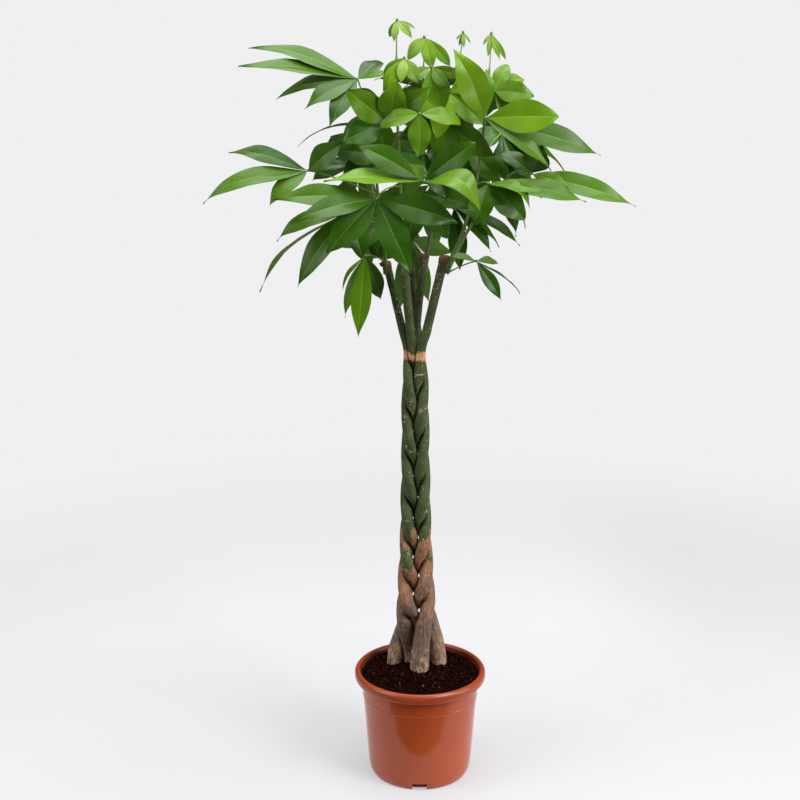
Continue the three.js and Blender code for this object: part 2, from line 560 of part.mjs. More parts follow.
// A leaflet's blade: a thin strip folded along its midrib, arched and waved. The same cross lines
// are drawn on both faces.
function bladeSolid(leaflet, stations, extra = 0) {
  const { hub, turn, lean, length, width, arch, facing, seed } = leaflet;
  const along = direction(turn, lean);
  const up = facing.clone().addScaledVector(along, -facing.dot(along)).normalize();
  const side = new THREE.Vector3().crossVectors(along, up);
  const points = [];
  const start = HUB_RADIUS * BLADE_START;
  const half = BLADE_THICKNESS / 2 + extra;
  stations.forEach((s, i) => {
    const end = i === 0 || i === stations.length - 1;
    const middle = hub.clone().addScaledVector(along, start + (length + extra - start) * s);
    middle.addScaledVector(up, length * arch * ARCH_SHARE * s ** ARCH_POWER * (1 - s));
    const outline = outlineAt(s, leaflet);
    const reach = (width / 2) * outline + extra;
    for (const across of end ? [0] : [-1, 0, 1]) {
      const wave = BLADE_WAVE * Math.sin(2 * Math.PI * (BLADE_WAVES * s + seed) + across);
      const lift = Math.abs(across) * width * (BLADE_FOLD * outline * 0.5 + wave * s);
      const point = middle.clone().addScaledVector(side, across * reach).addScaledVector(up, lift);
      points.push(point.clone().addScaledVector(up, half), point.addScaledVector(up, -half));
    }
  });
  const triangles = [];
  const quad = (a, b, c, d) => triangles.push(a, b, c, a, c, d);
  const last = points.length - 2;
  triangles.push(0, 4, 2, 0, 6, 4, 1, 3, 5, 1, 5, 7);
  quad(0, 2, 3, 1);
  quad(0, 1, 7, 6);
  for (let i = 1; i + 2 < stations.length; i += 1) {
    const a = 2 + (i - 1) * 6;
    const b = a + 6;
    triangles.push(a, a + 2, b, a + 2, b + 2, b, a + 2, a + 4, b + 2, a + 4, b + 4, b + 2);
    triangles.push(a + 1, b + 1, a + 3, a + 3, b + 1, b + 3, a + 3, b + 3, a + 5, a + 5, b + 3, b + 5);
    quad(a, b, b + 1, a + 1);
    quad(a + 4, a + 5, b + 5, b + 4);
  }
  const e = last - 6;
  triangles.push(e, e + 2, last, e + 2, e + 4, last, e + 1, last + 1, e + 3, e + 3, last + 1, e + 5);
  quad(e, last, last + 1, e + 1);
  quad(e + 4, e + 5, last + 1, last);
  return solidOf(meshOf(points, triangles));
}

// The leaflets of a leaf, from its list or spread round the axis of its fan.
function leafletsOf(leaf, index) {
  const hub = new THREE.Vector3(...leaf.hub);
  if (leaf.leaflets) {
    return leaf.leaflets.map(([turn, lean, length, width, arch, face], i) => {
      const angle = degrees(face ?? leaf.face);
      return {
        hub,
        turn,
        lean,
        length,
        width: width ?? length * BLADE_WIDTH,
        arch: arch ?? BLADE_ARCH,
        facing: new THREE.Vector3(0, -Math.cos(angle), Math.sin(angle)),
        seed: wobble(31 * index + i),
      };
    });
  }
  const { axis, count, length, droop } = leaf.fan;
  const facing = new THREE.Vector3(...axis).normalize();
  const level = new THREE.Vector3(0, 0, 1).cross(facing).normalize();
  const steep = new THREE.Vector3().crossVectors(level, facing);
  return Array.from({ length: count }, (_, i) => {
    const jitter = FAN_JITTER * (wobble(17 * index + i) - 0.5);
    const angle = degrees(90 + FAN_SPREAD * ((i + 0.5) / count - 0.5) + jitter);
    const spread = Math.cos(degrees(droop));
    const way = level.clone().multiplyScalar(Math.cos(angle) * spread);
    way.addScaledVector(steep, Math.sin(angle) * spread).addScaledVector(facing, -Math.sin(degrees(droop)));
    const size = length * (FAN_SHORTEST + FAN_VARIETY * wobble(13 * index + i));
    return {
      hub,
      turn: THREE.MathUtils.radToDeg(Math.atan2(way.z, way.x)),
      lean: THREE.MathUtils.radToDeg(Math.asin(-way.y)),
      length: size,
      width: size * FAN_WIDTH,
      arch: BLADE_ARCH,
      facing,
      seed: wobble(31 * index + i),
    };
  });
}

// A leaf stalk from its shoot to its hub. It starts a small gap away from the side of the shoot, or
// beyond its tip, and is bowed sideways by a share of its length.
function petioleCurve(leaf, { bow, gap }) {
  const hub = new THREE.Vector3(...leaf.hub);
  const shoot = shootCurve(SHOOTS[leaf.shoot]);
  const root = shoot.getPointAt(leaf.along);
  const tangent = shoot.getTangentAt(leaf.along);
  const square = hub.clone().sub(root);
  square.addScaledVector(tangent, -square.dot(tangent)).normalize();
  const atTip = leaf.along === 1;
  const way = atTip ? tangent : square;
  root.addScaledVector(way, gap + (atTip ? 0 : SHOOT_RADIUS * Math.cos(Math.PI / SHOOT_SIDES)));
  const span = hub.distanceTo(root);
  if (atTip) {
    return new THREE.QuadraticBezierCurve3(root, root.clone().addScaledVector(way, span * TIP_REACH), hub);
  }
  const middle = root.clone().lerp(hub, 0.5);
  middle.addScaledVector(new THREE.Vector3().crossVectors(tangent, square), bow * span);
  middle.addScaledVector(way, PETIOLE_REACH * span);
  middle.z += PETIOLE_RISE * span;
  return new THREE.QuadraticBezierCurve3(root, middle, hub);
}

// The stalk with the small knuckle that its leaflets grow from.
function stalkSolid(leaf, way, extra = 0) {
  const hub = new THREE.OctahedronGeometry(HUB_RADIUS + extra, 0);
  hub.translate(...leaf.hub);
  const route = petioleCurve(leaf, { bow: way.bow, gap: way.gap - extra });
  return solidOf(tube(route, PETIOLE_RADIUS + extra, PETIOLE_SIDES, PETIOLE_STEPS)).add(solidOf(hub));
}

function boxesMeet(a, b) {
  const [p, q] = [a.boundingBox(), b.boundingBox()];
  return [0, 1, 2].every((i) => p.min[i] <= q.max[i] && q.min[i] <= p.max[i]);
}

function crossing(solid, obstacles) {
  let volume = 0;
  for (const obstacle of obstacles) {
    if (boxesMeet(solid, obstacle)) volume += solid.intersect(obstacle).volume();
  }
  return volume;
}

// The places along a leaflet of its cross lines: more on a long one, and most on an arched one.
function stationsOf(leaf, leaflet) {
  if (leaflet.arch > ARCHED_FROM) return ARCHED_STATIONS;
  return leaf.leaflets && leaflet.length > LONG_BLADE ? LONG_STATIONS : SHORT_STATIONS;
}

// Every way that a leaflet may swing, the least visible first.
function swings() {
  const list = [];
  for (const shorter of SHORTENINGS) {
    for (const lean of LEAN_SWINGS) {
      for (const turn of TURN_SWINGS) {
        const cost = SHORTER_COST * (1 - shorter) + Math.abs(lean) + TURN_COST * Math.abs(turn);
        list.push({ shorter, lean, turn, cost });
      }
    }
  }
  return list.sort((a, b) => a.cost - b.cost);
}

// The first of the ways whose solid meets none of the others, or else the one that meets them least.
function clearest(ways, solidFor, others) {
  let best = { met: Infinity };
  for (const way of ways) {
    const met = crossing(solidFor(way), others);
    if (met < best.met) best = { way, met };
    if (met === 0) break;
  }
  return best.way;
}

// The crown: stalks first, then each leaflet in the first swing that hangs clear of all the rest.
function leafSolids(stems) {
  const stalkWays = STALK_BOWS.flatMap((bow) => STALK_GAPS.map((gap) => ({ bow, gap })));
  const stalks = [];
  for (const leaf of LEAVES) {
    const way = clearest(stalkWays, (w) => stalkSolid(leaf, w, STALK_CLEARANCE), [...stems, ...stalks]);
    stalks.push(stalkSolid(leaf, way));
  }
  const bladeWays = swings();
  const blades = LEAVES.map(() => []);
  LEAVES.forEach((leaf, index) => {
    const others = [...stems, ...stalks.filter((_, i) => i !== index), ...blades.flat()];
    for (const leaflet of leafletsOf(leaf, index)) {
      const stations = stationsOf(leaf, leaflet);
      const swung = (way) => ({
        ...leaflet,
        turn: leaflet.turn + way.turn,
        lean: leaflet.lean + way.lean,
        length: leaflet.length * way.shorter,
      });
      const way = clearest(bladeWays, (w) => bladeSolid(swung(w), stations, BLADE_CLEARANCE), others);
      blades[index].push(bladeSolid(swung(way), stations));
    }
  });
  return LEAVES.map((_, index) => joined([stalks[index], ...blades[index]]));
}

const tree = new THREE.Group();
function place(name, solid, finish) {
  const mesh = new THREE.Mesh(geometryOf(solid), finish);
  mesh.name = name;
  tree.add(mesh);
}

const stems = STEMS.map((_, k) => stemSolid(k));
place("pot", potSolid(), material(COLOURS.pot, 0.35));
place("soil", soilSolid(STEMS.map((_, k) => holeSolid(k))), material(COLOURS.soil, 0.95));
stems.forEach((stem, k) => place(STEMS[k].name, stem, material(COLOURS.bark, 0.75)));
leafSolids(stems).forEach((leaf, index) => {
  const { name, young } = LEAVES[index];
  place(name, leaf, material(young ? COLOURS.young : COLOURS.leaf, 0.45));
});

export default tree;
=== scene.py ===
"""A potted money tree: five stems plaited into one trunk, its crown of hand-shaped leaves, its pot and soil.

Metres, +Z up, +X to the right, and the viewer looks along +Y. Sizes named here are in millimetres,
as a grower would measure them, and MM brings them into the frame.
"""
import math
from collections import namedtuple

import bmesh
import bpy
import numpy as np
from mathutils import Matrix, Vector, noise


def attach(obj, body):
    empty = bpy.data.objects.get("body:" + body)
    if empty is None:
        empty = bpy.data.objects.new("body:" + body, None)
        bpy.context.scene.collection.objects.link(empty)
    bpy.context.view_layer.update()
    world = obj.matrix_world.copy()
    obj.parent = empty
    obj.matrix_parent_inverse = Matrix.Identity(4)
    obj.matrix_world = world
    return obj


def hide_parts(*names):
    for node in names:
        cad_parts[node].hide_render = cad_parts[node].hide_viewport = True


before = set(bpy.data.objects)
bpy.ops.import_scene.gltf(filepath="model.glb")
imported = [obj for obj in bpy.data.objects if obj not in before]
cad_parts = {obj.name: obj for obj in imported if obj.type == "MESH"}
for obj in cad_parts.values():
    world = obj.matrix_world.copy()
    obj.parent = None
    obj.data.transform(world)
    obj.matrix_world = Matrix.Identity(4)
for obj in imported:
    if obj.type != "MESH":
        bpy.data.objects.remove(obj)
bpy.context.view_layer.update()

MM = 0.001

# Pot. The wall's outside is a list of (height, radius, rounding): a foot that curves in, the body,
# a wider shoulder for stacking with a fine bead on it, and the collar under the rim
POT_HEIGHT = 205
RIM_RADIUS = 122.5
RIM_DEPTH = 18
RIM_WIDTH = 10.5
WALL = 2.2
POT_FLOOR = 3
BEAD_LEVEL = 155
POT_WALL = [(0, 90.5, 2), (10, 95.2, 4), (26, 97.2, 4), (125, 104.4, 14), (155, 107.7, 0), (187, 110.5, 1)]
POT_SEGMENTS = 160
POT_CREASE = 38
NOTCH_COUNT = 4
NOTCH_WIDTH = 27
NOTCH_HEIGHT = 14
NOTCH_DEPTH = 20

# Soil
SOIL_LEVEL = 194
SOIL_MOUND = 11
SOIL_SPREAD = 62
SOIL_EDGE = 109.6
SOIL_FOOT = 165
SOIL_RINGS = 64
SOIL_SIDES = 210

# Plaited trunk
STRANDS = 5
STRAND_SIDES = 36
STRAND_STEP = 3.2
ROOT_LEVEL = 164
SOIL_LINE = 203
PLAIT_BOTTOM = 296
TIE_LEVEL = 800
TRUNK_FOOT = (-7, 22)
TRUNK_TIE = (-11, 8)
PITCH_LOW = 69
PITCH_HIGH = 95
PHASE_AT_TIE = -1
STRAND_CLEARANCE = 0.12
STRAND_ROUNDNESS = 14.0
WARTS_FROM = 230
WARTS_TO = 950

# Sizes of the plait by height: (height, strand radius), (height, half width), (height, half depth)
STRAND_RADIUS = [(262, 15), (312, 14), (370, 12.6), (450, 11.4), (560, 10.5), (640, 9.9), (760, 9.9),
                 (960, 7.5)]
HALF_WIDTH = [(262, 25), (316, 23), (394, 21), (430, 19.2), (500, 17.4), (540, 17.4), (600, 16.2),
              (690, 15.6), (745, 14.6), (800, 11)]
HALF_DEPTH = [(262, 20), (330, 17), (420, 14.5), (760, 13), (800, 12.5)]

# A sawn top healed over: rows from the cut's rim to its sunken middle, as (height over the top, share
# of the strand's radius)
HEAL_DEPTH = 13
HEALED_RIM = [(-13, 1.03), (-11, 1.07), (-9, 1.12), (-7, 1.17), (-5, 1.19), (-3.5, 1.18), (-2.2, 1.13),
              (-1.2, 1.06), (-0.5, 0.96), (0, 0.8)]
HEALED_MIDDLE = [(-0.6, 0.62), (-1.6, 0.45), (-1.8, 0.2)]

Stem = namedtuple("Stem", "name foot foot_radius top top_radius")
STEMS = [
    Stem("stem_back", (-15, 17), 14, (4, 30, 982), 7.4),
    Stem("stem_left", (7, 31), 13, (-62, 5, 973), 7),
    Stem("stem_front", (42, 14), 15, (-32, -35, 984), 7.8),
    Stem("stem_middle", (6, -20), 17.5, (-20, 52, 955), 7),
    Stem("stem_right", (-40, 14), 16, (40, -25, 987), 8.2),
]
KNOB_STEM = "stem_left"

# Green shoots out of the sawn tops, each as (stem, points)
SHOOT_RADIUS = 3
SHOOT_SIDES = 12
SHOOT_STEPS = 48
SHOOTS = {
    "leftFront": (1, [(-61, 3, 950), (-66, -10, 1015), (-76, -20, 1100),
                      (-84, -22, 1180), (-88, -20, 1235)]),
    "leftBack": (1, [(-63, 8, 950), (-78, 55, 1030), (-88, 85, 1110), (-82, 100, 1180)]),
    "front": (2, [(-32, -34, 955), (-33, -44, 1040), (-38, -52, 1150), (-43, -50, 1260), (-43, -43, 1320)]),
    "back": (3, [(-20, 47, 942), (-14, 58, 1040), (-5, 52, 1150), (0, 14, 1240), (2, -28, 1300)]),
    "middle": (0, [(4, 31, 955), (18, 40, 1040), (36, 44, 1150), (54, 30, 1250), (63, 12, 1312)]),
    "farBack": (0, [(6, 33, 950), (22, 86, 1030), (34, 120, 1110), (36, 130, 1190)]),
    "right": (4, [(41, -25, 962), (72, -38, 1035), (92, -48, 1120), (104, -40, 1210), (112, -22, 1300)]),
    "farRight": (4, [(43, -23, 955), (84, -8, 1035), (120, 2, 1090), (148, -18, 1122)]),
}

# Leaves
BLADE_THICKNESS = 0.8
BLADE_FOLD = 0.16
BLADE_WAVE = 0.05
BLADE_WAVES = 2.2
BLADE_ARCH = 0.1
BLADE_FULLEST = 0.9
BLADE_VARIETY = 0.26
BLADE_TIP = 0.6
TIP_SHARPNESS = 3.0
TIP_BLUNTING = 0.9
BLUNT_FROM = 0.32
BLUNT_FULLY = 0.46
ARCH_POWER = 1.5
ARCH_SHARE = 5.38
FAN_WIDTH = 0.32
KNUCKLE_RADIUS = 3.2
HUB_RADIUS = 2.5
STALK_RADIUS = 1.5
STALK_RISE = 0.12
STALK_REACH = 0.12
STALK_STEPS = 14
TIP_REACH = 0.4
SHOOT_FACETS = 5
YOUNG = ("young_", "bud_")

# Rows of points on a blade, and its sizes: thinner than the solids', so that the round edges stay inside
FULL_SIZES = {"Across": 11, "Along": 25, "Thickness": 0.6 * MM, "Rib": 1.1 * MM, "Stalk radius": 1.4 * MM}
YOUNG_SIZES = {"Across": 9, "Along": 17, "Thickness": 0.5 * MM, "Rib": 0.5 * MM, "Stalk radius": 1.1 * MM}

# Each leaf leaves its shoot at a share of its length and hangs its leaflets round a hub. face is how its
# upper side looks, in degrees: 0 to the viewer, 90 up, 180 away. A leaflet is (turn, lean, length, width,
# arch, face): turn is its direction seen from the front, from +X towards +Z, and lean is how far it comes
# forward. A fan is a leaf of the far side: so many leaflets spread evenly round an axis.
Leaf = namedtuple("Leaf", "name shoot share hub face leaflets")
Fan = namedtuple("Fan", "name shoot share hub axis count length droop")
LEAVES = [
    Leaf("leaf_top_left", "leftFront", 0.97, (-108, -30, 1284), 55, [(165, 0, 188, 38, 0.09),
         (174, 14, 200, 36, 0.05), (194, 8, 140, 38, 0.1), (240, 36, 112, 36, 0.1, 35),
         (31, -50, 74, 34, 0.1), (4, 10, 62, 22, 0.1), (209, 30, 112, 38, 0.08, 40)]),
    Leaf("leaf_left", "leftFront", 0.5, (-191, -60, 1135), 48, [(168, -4, 137, 36, 0.1),
         (197, 10, 184, 40, 0.14), (222, 24, 92, 36, 0.12), (38, 18, 80, 42, 0.1, 20),
         (4, -18, 78, 22, 0.08)]),
    Leaf("leaf_front_left", "front", 0.42, (-73, -170, 1100), 38, [(180, 8, 165, 42, 0.06),
         (194, 22, 146, 40, 0.08), (227, 14, 120, 50, 0.08, 20), (296, 14, 136, 50, 0.08, 12),
         (344, 8, 140, 50, 0.08, 25)]),
    Leaf("leaf_front", "right", 0.38, (3, -170, 1128), 40, [(180, 2, 160, 46, 0.04, 64),
         (153, -10, 124, 42, 0.06, 30), (37, 10, 104, 46, 0.05, 20), (333, 22, 108, 46, 0.42, 50),
         (128, 42, 52, 20, 0.1, 30)]),
    Leaf("leaf_right", "farRight", 1, (184, -60, 1130), 52, [(343, 6, 182, 42, 0.06, 38),
         (344, -14, 152, 38, 0.08, 60), (76, 26, 56, 46, 0.1, 10), (338, 30, 74, 30, 0.1, 40),
         (150, -30, 70, 34, 0.1)]),
    Leaf("leaf_high_right", "right", 0.72, (103, -80, 1223), 42, [(1, 12, 122, 56, 0.05, 14),
         (342, -6, 206, 46, 0.05, 30), (116, 18, 128, 52, 0.16, 20), (322, 8, 140, 32, 0.08, 50),
         (325, -18, 184, 28, 0.08, 60), (88, -22, 84, 30, 0.1, 30)]),
    Leaf("leaf_high_left", "front", 0.72, (-54, -90, 1212), 30, [(140, 24, 96, 46, 0.08, 8),
         (80, 28, 82, 48, 0.1, 4), (42, 20, 96, 42, 0.1, 10), (194, -6, 158, 26, 0.12, 88),
         (199, 16, 82, 46, 0.08, 24)]),
    Leaf("leaf_low_left", "leftFront", 0.34, (-122, -60, 1069), 62, [(236, -4, 162, 46, 0.08, 44),
         (223, -12, 224, 34, 0.1, 92), (203, 4, 134, 38, 0.14, 50), (285, 20, 86, 40, 0.1),
         (130, 20, 60, 30, 0.1)]),
    Leaf("leaf_low_middle", "leftBack", 0.22, (-60, 30, 1030), 40, [(202, 14, 90, 46, 0.08, 24),
         (247, 12, 84, 44, 0.08, 24), (298, -14, 84, 40, 0.1), (165, -10, 80, 36, 0.1)]),
    Leaf("leaf_hanging", "leftBack", 0.1, (-98, -20, 986), 30, [(265, 3, 146, 36, 0.05, 12),
         (252, -8, 120, 24, 0.06, 60), (238, 14, 74, 12, 0.14, 80), (286, -30, 104, 32, 0.08)]),
    Leaf("leaf_low_right", "farRight", 0.02, (93, -60, 983), 50, [(172, -6, 46, 18, 0.1, 60),
         (303, 8, 80, 24, 0.08, 30), (323, -6, 96, 22, 0.06, 88), (346, -34, 48, 20, 0.1)]),
    Leaf("leaf_under_right", "farRight", 0.4, (56, 22, 1066), 60, [(310, 6, 102, 28, 0.08),
         (317, -14, 114, 24, 0.08), (330, 8, 134, 28, 0.1), (276, -10, 120, 34, 0.06, 30)]),
    Leaf("leaf_front_right", "right", 0.45, (108, -110, 1119), 42, [(353, 24, 98, 26, 0.06, 40),
         (329, 18, 84, 28, 0.32, 60), (316, 0, 86, 48, 0.08, 20), (349, -10, 166, 42, 0.06, 48),
         (310, -16, 106, 24, 0.1, 66), (252, 12, 72, 42, 0.08, 12)]),
    Leaf("leaf_inner_left", "front", 0.56, (-62, -50, 1156), 30, [(172, 6, 76, 50, 0.08),
         (206, 4, 80, 50, 0.08), (100, -8, 66, 40, 0.1), (338, 14, 84, 44, 0.1)]),
    Leaf("leaf_inner_right", "middle", 0.45, (78, 0, 1170), 30, [(250, 8, 78, 44, 0.08),
         (312, 4, 84, 44, 0.08), (200, 10, 70, 40, 0.1), (20, -10, 70, 40, 0.1)]),
    Leaf("leaf_olive", "middle", 0.66, (26, -24, 1222), 340, [(327, 10, 122, 50, 0.05),
         (287, 14, 74, 48, 0.06), (210, 0, 72, 40, 0.08)]),
    Leaf("leaf_inner_middle", "back", 0.4, (4, 6, 1160), 32, [(196, 10, 84, 44, 0.08),
         (244, 14, 86, 44, 0.08), (296, 12, 88, 44, 0.08), (344, 8, 82, 42, 0.08), (80, -6, 70, 38, 0.08)]),
    Leaf("leaf_inner_top", "middle", 0.8, (44, -34, 1262), 24, [(200, 6, 84, 40, 0.08),
         (255, 16, 80, 42, 0.08), (318, 6, 90, 42, 0.08), (20, -6, 76, 36, 0.1)]),
    Leaf("leaf_inner_low", "back", 0.32, (-4, 12, 1090), 34, [(200, 6, 92, 44, 0.08),
         (256, 12, 88, 44, 0.08), (302, 8, 92, 44, 0.08), (346, 4, 88, 42, 0.08)]),
    Leaf("leaf_far_right", "right", 0.58, (136, 20, 1192), 40, [(303, 2, 92, 42, 0.08),
         (268, 8, 84, 40, 0.08), (335, -6, 88, 36, 0.1), (50, -20, 70, 36, 0.1)]),
    Leaf("leaf_pendant", "front", 0.64, (-4, -132, 1232), 350, [(270, 6, 68, 38, 0.04),
         (200, -30, 70, 34, 0.1, 40), (345, -20, 74, 34, 0.1, 40)]),
    Leaf("leaf_top_right", "middle", 0.9, (124, 50, 1262), 40, [(352, 8, 70, 40, 0.12, 20),
         (20, -20, 60, 34, 0.1), (60, -30, 58, 30, 0.1), (300, -10, 76, 36, 0.1)]),
    Leaf("leaf_behind_stems", "farBack", 0.1, (-18, 112, 998), 200, [(260, 2, 138, 38, 0.06),
         (285, -4, 126, 34, 0.06), (272, -30, 112, 34, 0.08), (205, -20, 96, 36, 0.1),
         (338, -24, 92, 34, 0.1)]),
    Leaf("young_leaf_bright", "front", 0.84, (14, -74, 1304), 350, [(347, 18, 62, 20, 0.14),
         (285, 14, 76, 46, 0.06), (206, 18, 44, 20, 0.1), (312, 24, 50, 22, 0.12)]),
    Leaf("young_leaf_drooping", "front", 0.93, (-29, -110, 1319), 10, [(237, 6, 64, 24, 0.12),
         (262, 20, 44, 18, 0.1), (299, 8, 46, 22, 0.12), (222, -20, 50, 20, 0.1)]),
    Leaf("young_leaf_narrow", "right", 0.93, (56, -112, 1309), 350, [(276, 6, 48, 10, 0.06),
         (293, 4, 46, 9, 0.08), (250, 10, 30, 8, 0.08), (312, -10, 34, 8, 0.1)]),
    Leaf("bud_leaf_left", "front", 1, (-42, -40, 1379), 20, [(262, 12, 37, 13, 0.1),
         (246, -22, 34, 12, 0.1), (310, 12, 40, 14, 0.1), (334, -12, 35, 6, 0.12)]),
    Leaf("bud_leaf_middle", "back", 1, (3, -60, 1352), 15, [(234, 6, 46, 22, 0.12), (284, 10, 53, 24, 0.08),
         (308, -6, 38, 7, 0.14), (312, -24, 72, 20, 0.12)]),
    Leaf("bud_leaf_right", "middle", 1, (68, 0, 1360), 10, [(228, 0, 18, 4, 0.16), (273, 10, 28, 7, 0.06),
         (304, -6, 24, 4, 0.16), (255, -20, 26, 6, 0.08)]),
    Leaf("bud_leaf_far_right", "right", 1, (115, -10, 1358), 10, [(234, 0, 25, 6, 0.14),
         (262, 8, 41, 10, 0.06), (288, 8, 47, 11, 0.08), (300, -8, 53, 9, 0.12)]),
    Fan("leaf_back_top_left", "leftBack", 0.98, (-64, 132, 1228), (-0.35, 0.75, 0.55), 5, 118, 14),
    Fan("leaf_back_left", "leftBack", 0.72, (-112, 158, 1132), (-0.5, 0.75, 0.4), 6, 132, 18),
    Fan("leaf_back_low_left", "leftBack", 0.45, (-92, 136, 1046), (-0.4, 0.8, 0.3), 5, 124, 20),
    Fan("leaf_back_top", "back", 0.8, (10, 106, 1268), (0.05, 0.6, 0.8), 5, 108, 18),
    Fan("leaf_back_middle", "farBack", 0.97, (26, 196, 1186), (0.1, 0.85, 0.5), 5, 136, 16),
    Fan("leaf_back_low", "farBack", 0.62, (14, 206, 1086), (0, 0.9, 0.3), 5, 130, 18),
    Fan("leaf_back_right", "farBack", 0.84, (122, 138, 1120), (0.5, 0.75, 0.4), 6, 124, 18),
    Fan("leaf_back_top_right", "middle", 0.78, (92, 120, 1222), (0.35, 0.7, 0.6), 4, 112, 16),
]

# How young the leaflets of a leaf are: 0 is old and dark, 1 is young and yellow-green. Some leaflets are
# set paler for a painted sheen and painted light, and some darker for painted shade
LEAF_AGES_AND_LIGHT = {
    "leaf_top_left": (0.28, 0.15, 0, 0, 0, 0.25, 0),
    "leaf_left": (0.15, 0.18, 0.2, 0, 0.1),
    "leaf_front_left": (0.08, 0.1, 0, 0, 0),
    "leaf_front": (0.6, 0.1, 0.15, 0.38, 0.3),
    "leaf_right": (0.35, 0.25, 0.1, 0.3, 0.15),
    "leaf_high_right": (0.62, 0.15, 0.6, 0.22, 0.3, 0.45),
    "leaf_high_left": (0.45, 0.5, 0.42, 0.1, 0.05),
    "leaf_low_left": (0.3, 0.5, 0.1, 0.05, 0.1),
    "leaf_hanging": (0.7, 0.6, 0.5, 0.1),
    "leaf_front_right": (0.55, 0.5, 0.08, 0.2, 0.15, 0.05),
    "leaf_olive": (0.12, 0.1, 0.05),
    "leaf_pendant": (0.3, 0.4, 0.4),
    "leaf_top_right": (0.3, 0.45, 0.4, 0.35),
    "leaf_inner_top": (0.6, 0.65, 0.55, 0.4),
    "leaf_inner_left": (0.1, 0.05, 0.2, 0.12),
}
FULL_AGE = 0.08
YOUNG_AGE = 0.85

# Swings that a leaflet may have taken to hang clear of its neighbours, and bows and gaps of a stalk
TURN_SWINGS = (0, 6, -6, 12, -12, 20, -20)
LEAN_SWINGS = (0, 8, -8, 16, -16, 24, -24, 34, -34, 46, -46)
SHORTENINGS = (1, 0.86, 0.72)
STALK_BOWS = (0, 0.07, -0.07, 0.14, -0.14, 0.22, -0.22, 0.3, -0.3)
STALK_GAPS = (-0.7, -0.4, -0.1, 0.2, 0.5, 0.9, 1.4, 1.9)

# Colours as linear red, green and blue. A pair is the dark and the light of one finish
PLASTIC = (0.420, 0.068, 0.015), (0.462, 0.077, 0.018)
PLASTIC_STREAK = (0.36, 0.056, 0.012)
# Painted shade that darkens the rim
PAINTED_RIM_SHADE = (0.300, 0.047, 0.011)
POT_DUST = (0.44, 0.20, 0.11)
# A darker colour for the inside of the rim, above the soil
RIM_INSIDE_DARK = (0.095, 0.024, 0.010)
DARK_SOIL = (0.0040, 0.0009, 0.0006), (0.022, 0.0046, 0.0026)
BARK_CHIPS = (0.035, 0.012, 0.007), (0.20, 0.105, 0.065)
GREEN_BARK = (0.033, 0.052, 0.015), (0.066, 0.094, 0.026)
GREEN_STREAK = (0.10, 0.12, 0.045)
TAN_BARK = (0.22, 0.095, 0.042), (0.46, 0.235, 0.125)
GREY_BARK = (0.120, 0.070, 0.048), (0.31, 0.205, 0.150)
CORK = (0.40, 0.22, 0.11), (0.62, 0.50, 0.32)
CORK_FLECK = (0.60, 0.52, 0.36)
# Paler colour of the feet towards +X
PALE_FOOT = (0.42, 0.26, 0.17)
TORN_FOOT = (0.44, 0.25, 0.14), (0.80, 0.56, 0.38)
FOOT_PIT = (0.045, 0.022, 0.014)
TIE_BAND = (0.51, 0.235, 0.095), (0.71, 0.41, 0.21)
# Painted shadow along the edges of the tie band
TIE_EDGE_SHADOW = (0.05, 0.025, 0.012)
CALLUS = (0.035, 0.018, 0.010), (0.17, 0.075, 0.036)
CALLUS_STREAK = (0.27, 0.15, 0.075)
WARTS = (0.42, 0.33, 0.19), (0.66, 0.57, 0.40)
GREEN_SHOOT = (0.075, 0.12, 0.022), (0.13, 0.19, 0.04)
LEAF_STALK = (0.10, 0.20, 0.03), (0.17, 0.29, 0.05)
OLD_LEAF = (0.010, 0.050, 0.0015), (0.034, 0.110, 0.0025)
YOUNG_LEAF = (0.120, 0.290, 0.004), (0.220, 0.400, 0.010)
LEAF_CLOUD = (0.050, 0.130, 0.004)
BUD_LEAF = (0.300, 0.390, 0.130)
LEAF_VEIN = (0.080, 0.175, 0.016), (0.280, 0.450, 0.040)
LEAF_UNDER = (0.050, 0.120, 0.008), (0.190, 0.310, 0.020)
FLOOR = (0.322, 0.322, 0.327), (0.332, 0.332, 0.337)
FLOOR_SEEN = (0.42, 0.42, 0.435), (0.475, 0.475, 0.49)
# Painted shade on the floor towards the right
FLOOR_SHADE_RIGHT = (0.37, 0.37, 0.385)
FLOOR_GLOW = (0.22, 0.22, 0.22)
CARD = (0.01, 0.01, 0.01), (0.02, 0.02, 0.02)
CARD_SEEN = (0, 0, 0)
CARD_GLOW = (0.26, 0.26, 0.26)
AIR_SEEN = (0.868, 0.868, 0.881, 1)
AIR_GLOW = (1, 1, 1, 1)

# Where markings start and where they are full, in metres: heights, sideways, and off the tie's middle
DUST_LEVEL = (0.035, 0.0)
# Heights where the inside of the rim turns darker
RIM_INSIDE_LEVEL = (0.1875, 0.1895)
GREEN_ENDS = (0.462, 0.446)
GREY_STARTS = (0.385, 0.315)
TORN_LEVEL = (0.258, 0.218)
# Where the feet turn paler: heights, and sideways towards +X
PALE_FOOT_LEVEL = (0.300, 0.240)
PALE_FOOT_SIDE = (0.014, 0.030)
TIE_SCAR = 0.801
BAND_WIDTH = (0.0088, 0.0068)
# Painted shadow along the tie band's edges: where it starts and where it is full, off the tie's middle
EDGE_SHADOW_INSIDE = (0.0088, 0.0098)
EDGE_SHADOW_OUTSIDE = (0.0125, 0.0105)

# Where the green bark reaches further down: a point, its reach and the lift, in metres
GREEN_SPOTS = [((-0.022, -0.022, 0.402), 0.030, 0.060), ((0.006, -0.022, 0.438), 0.022, 0.030)]

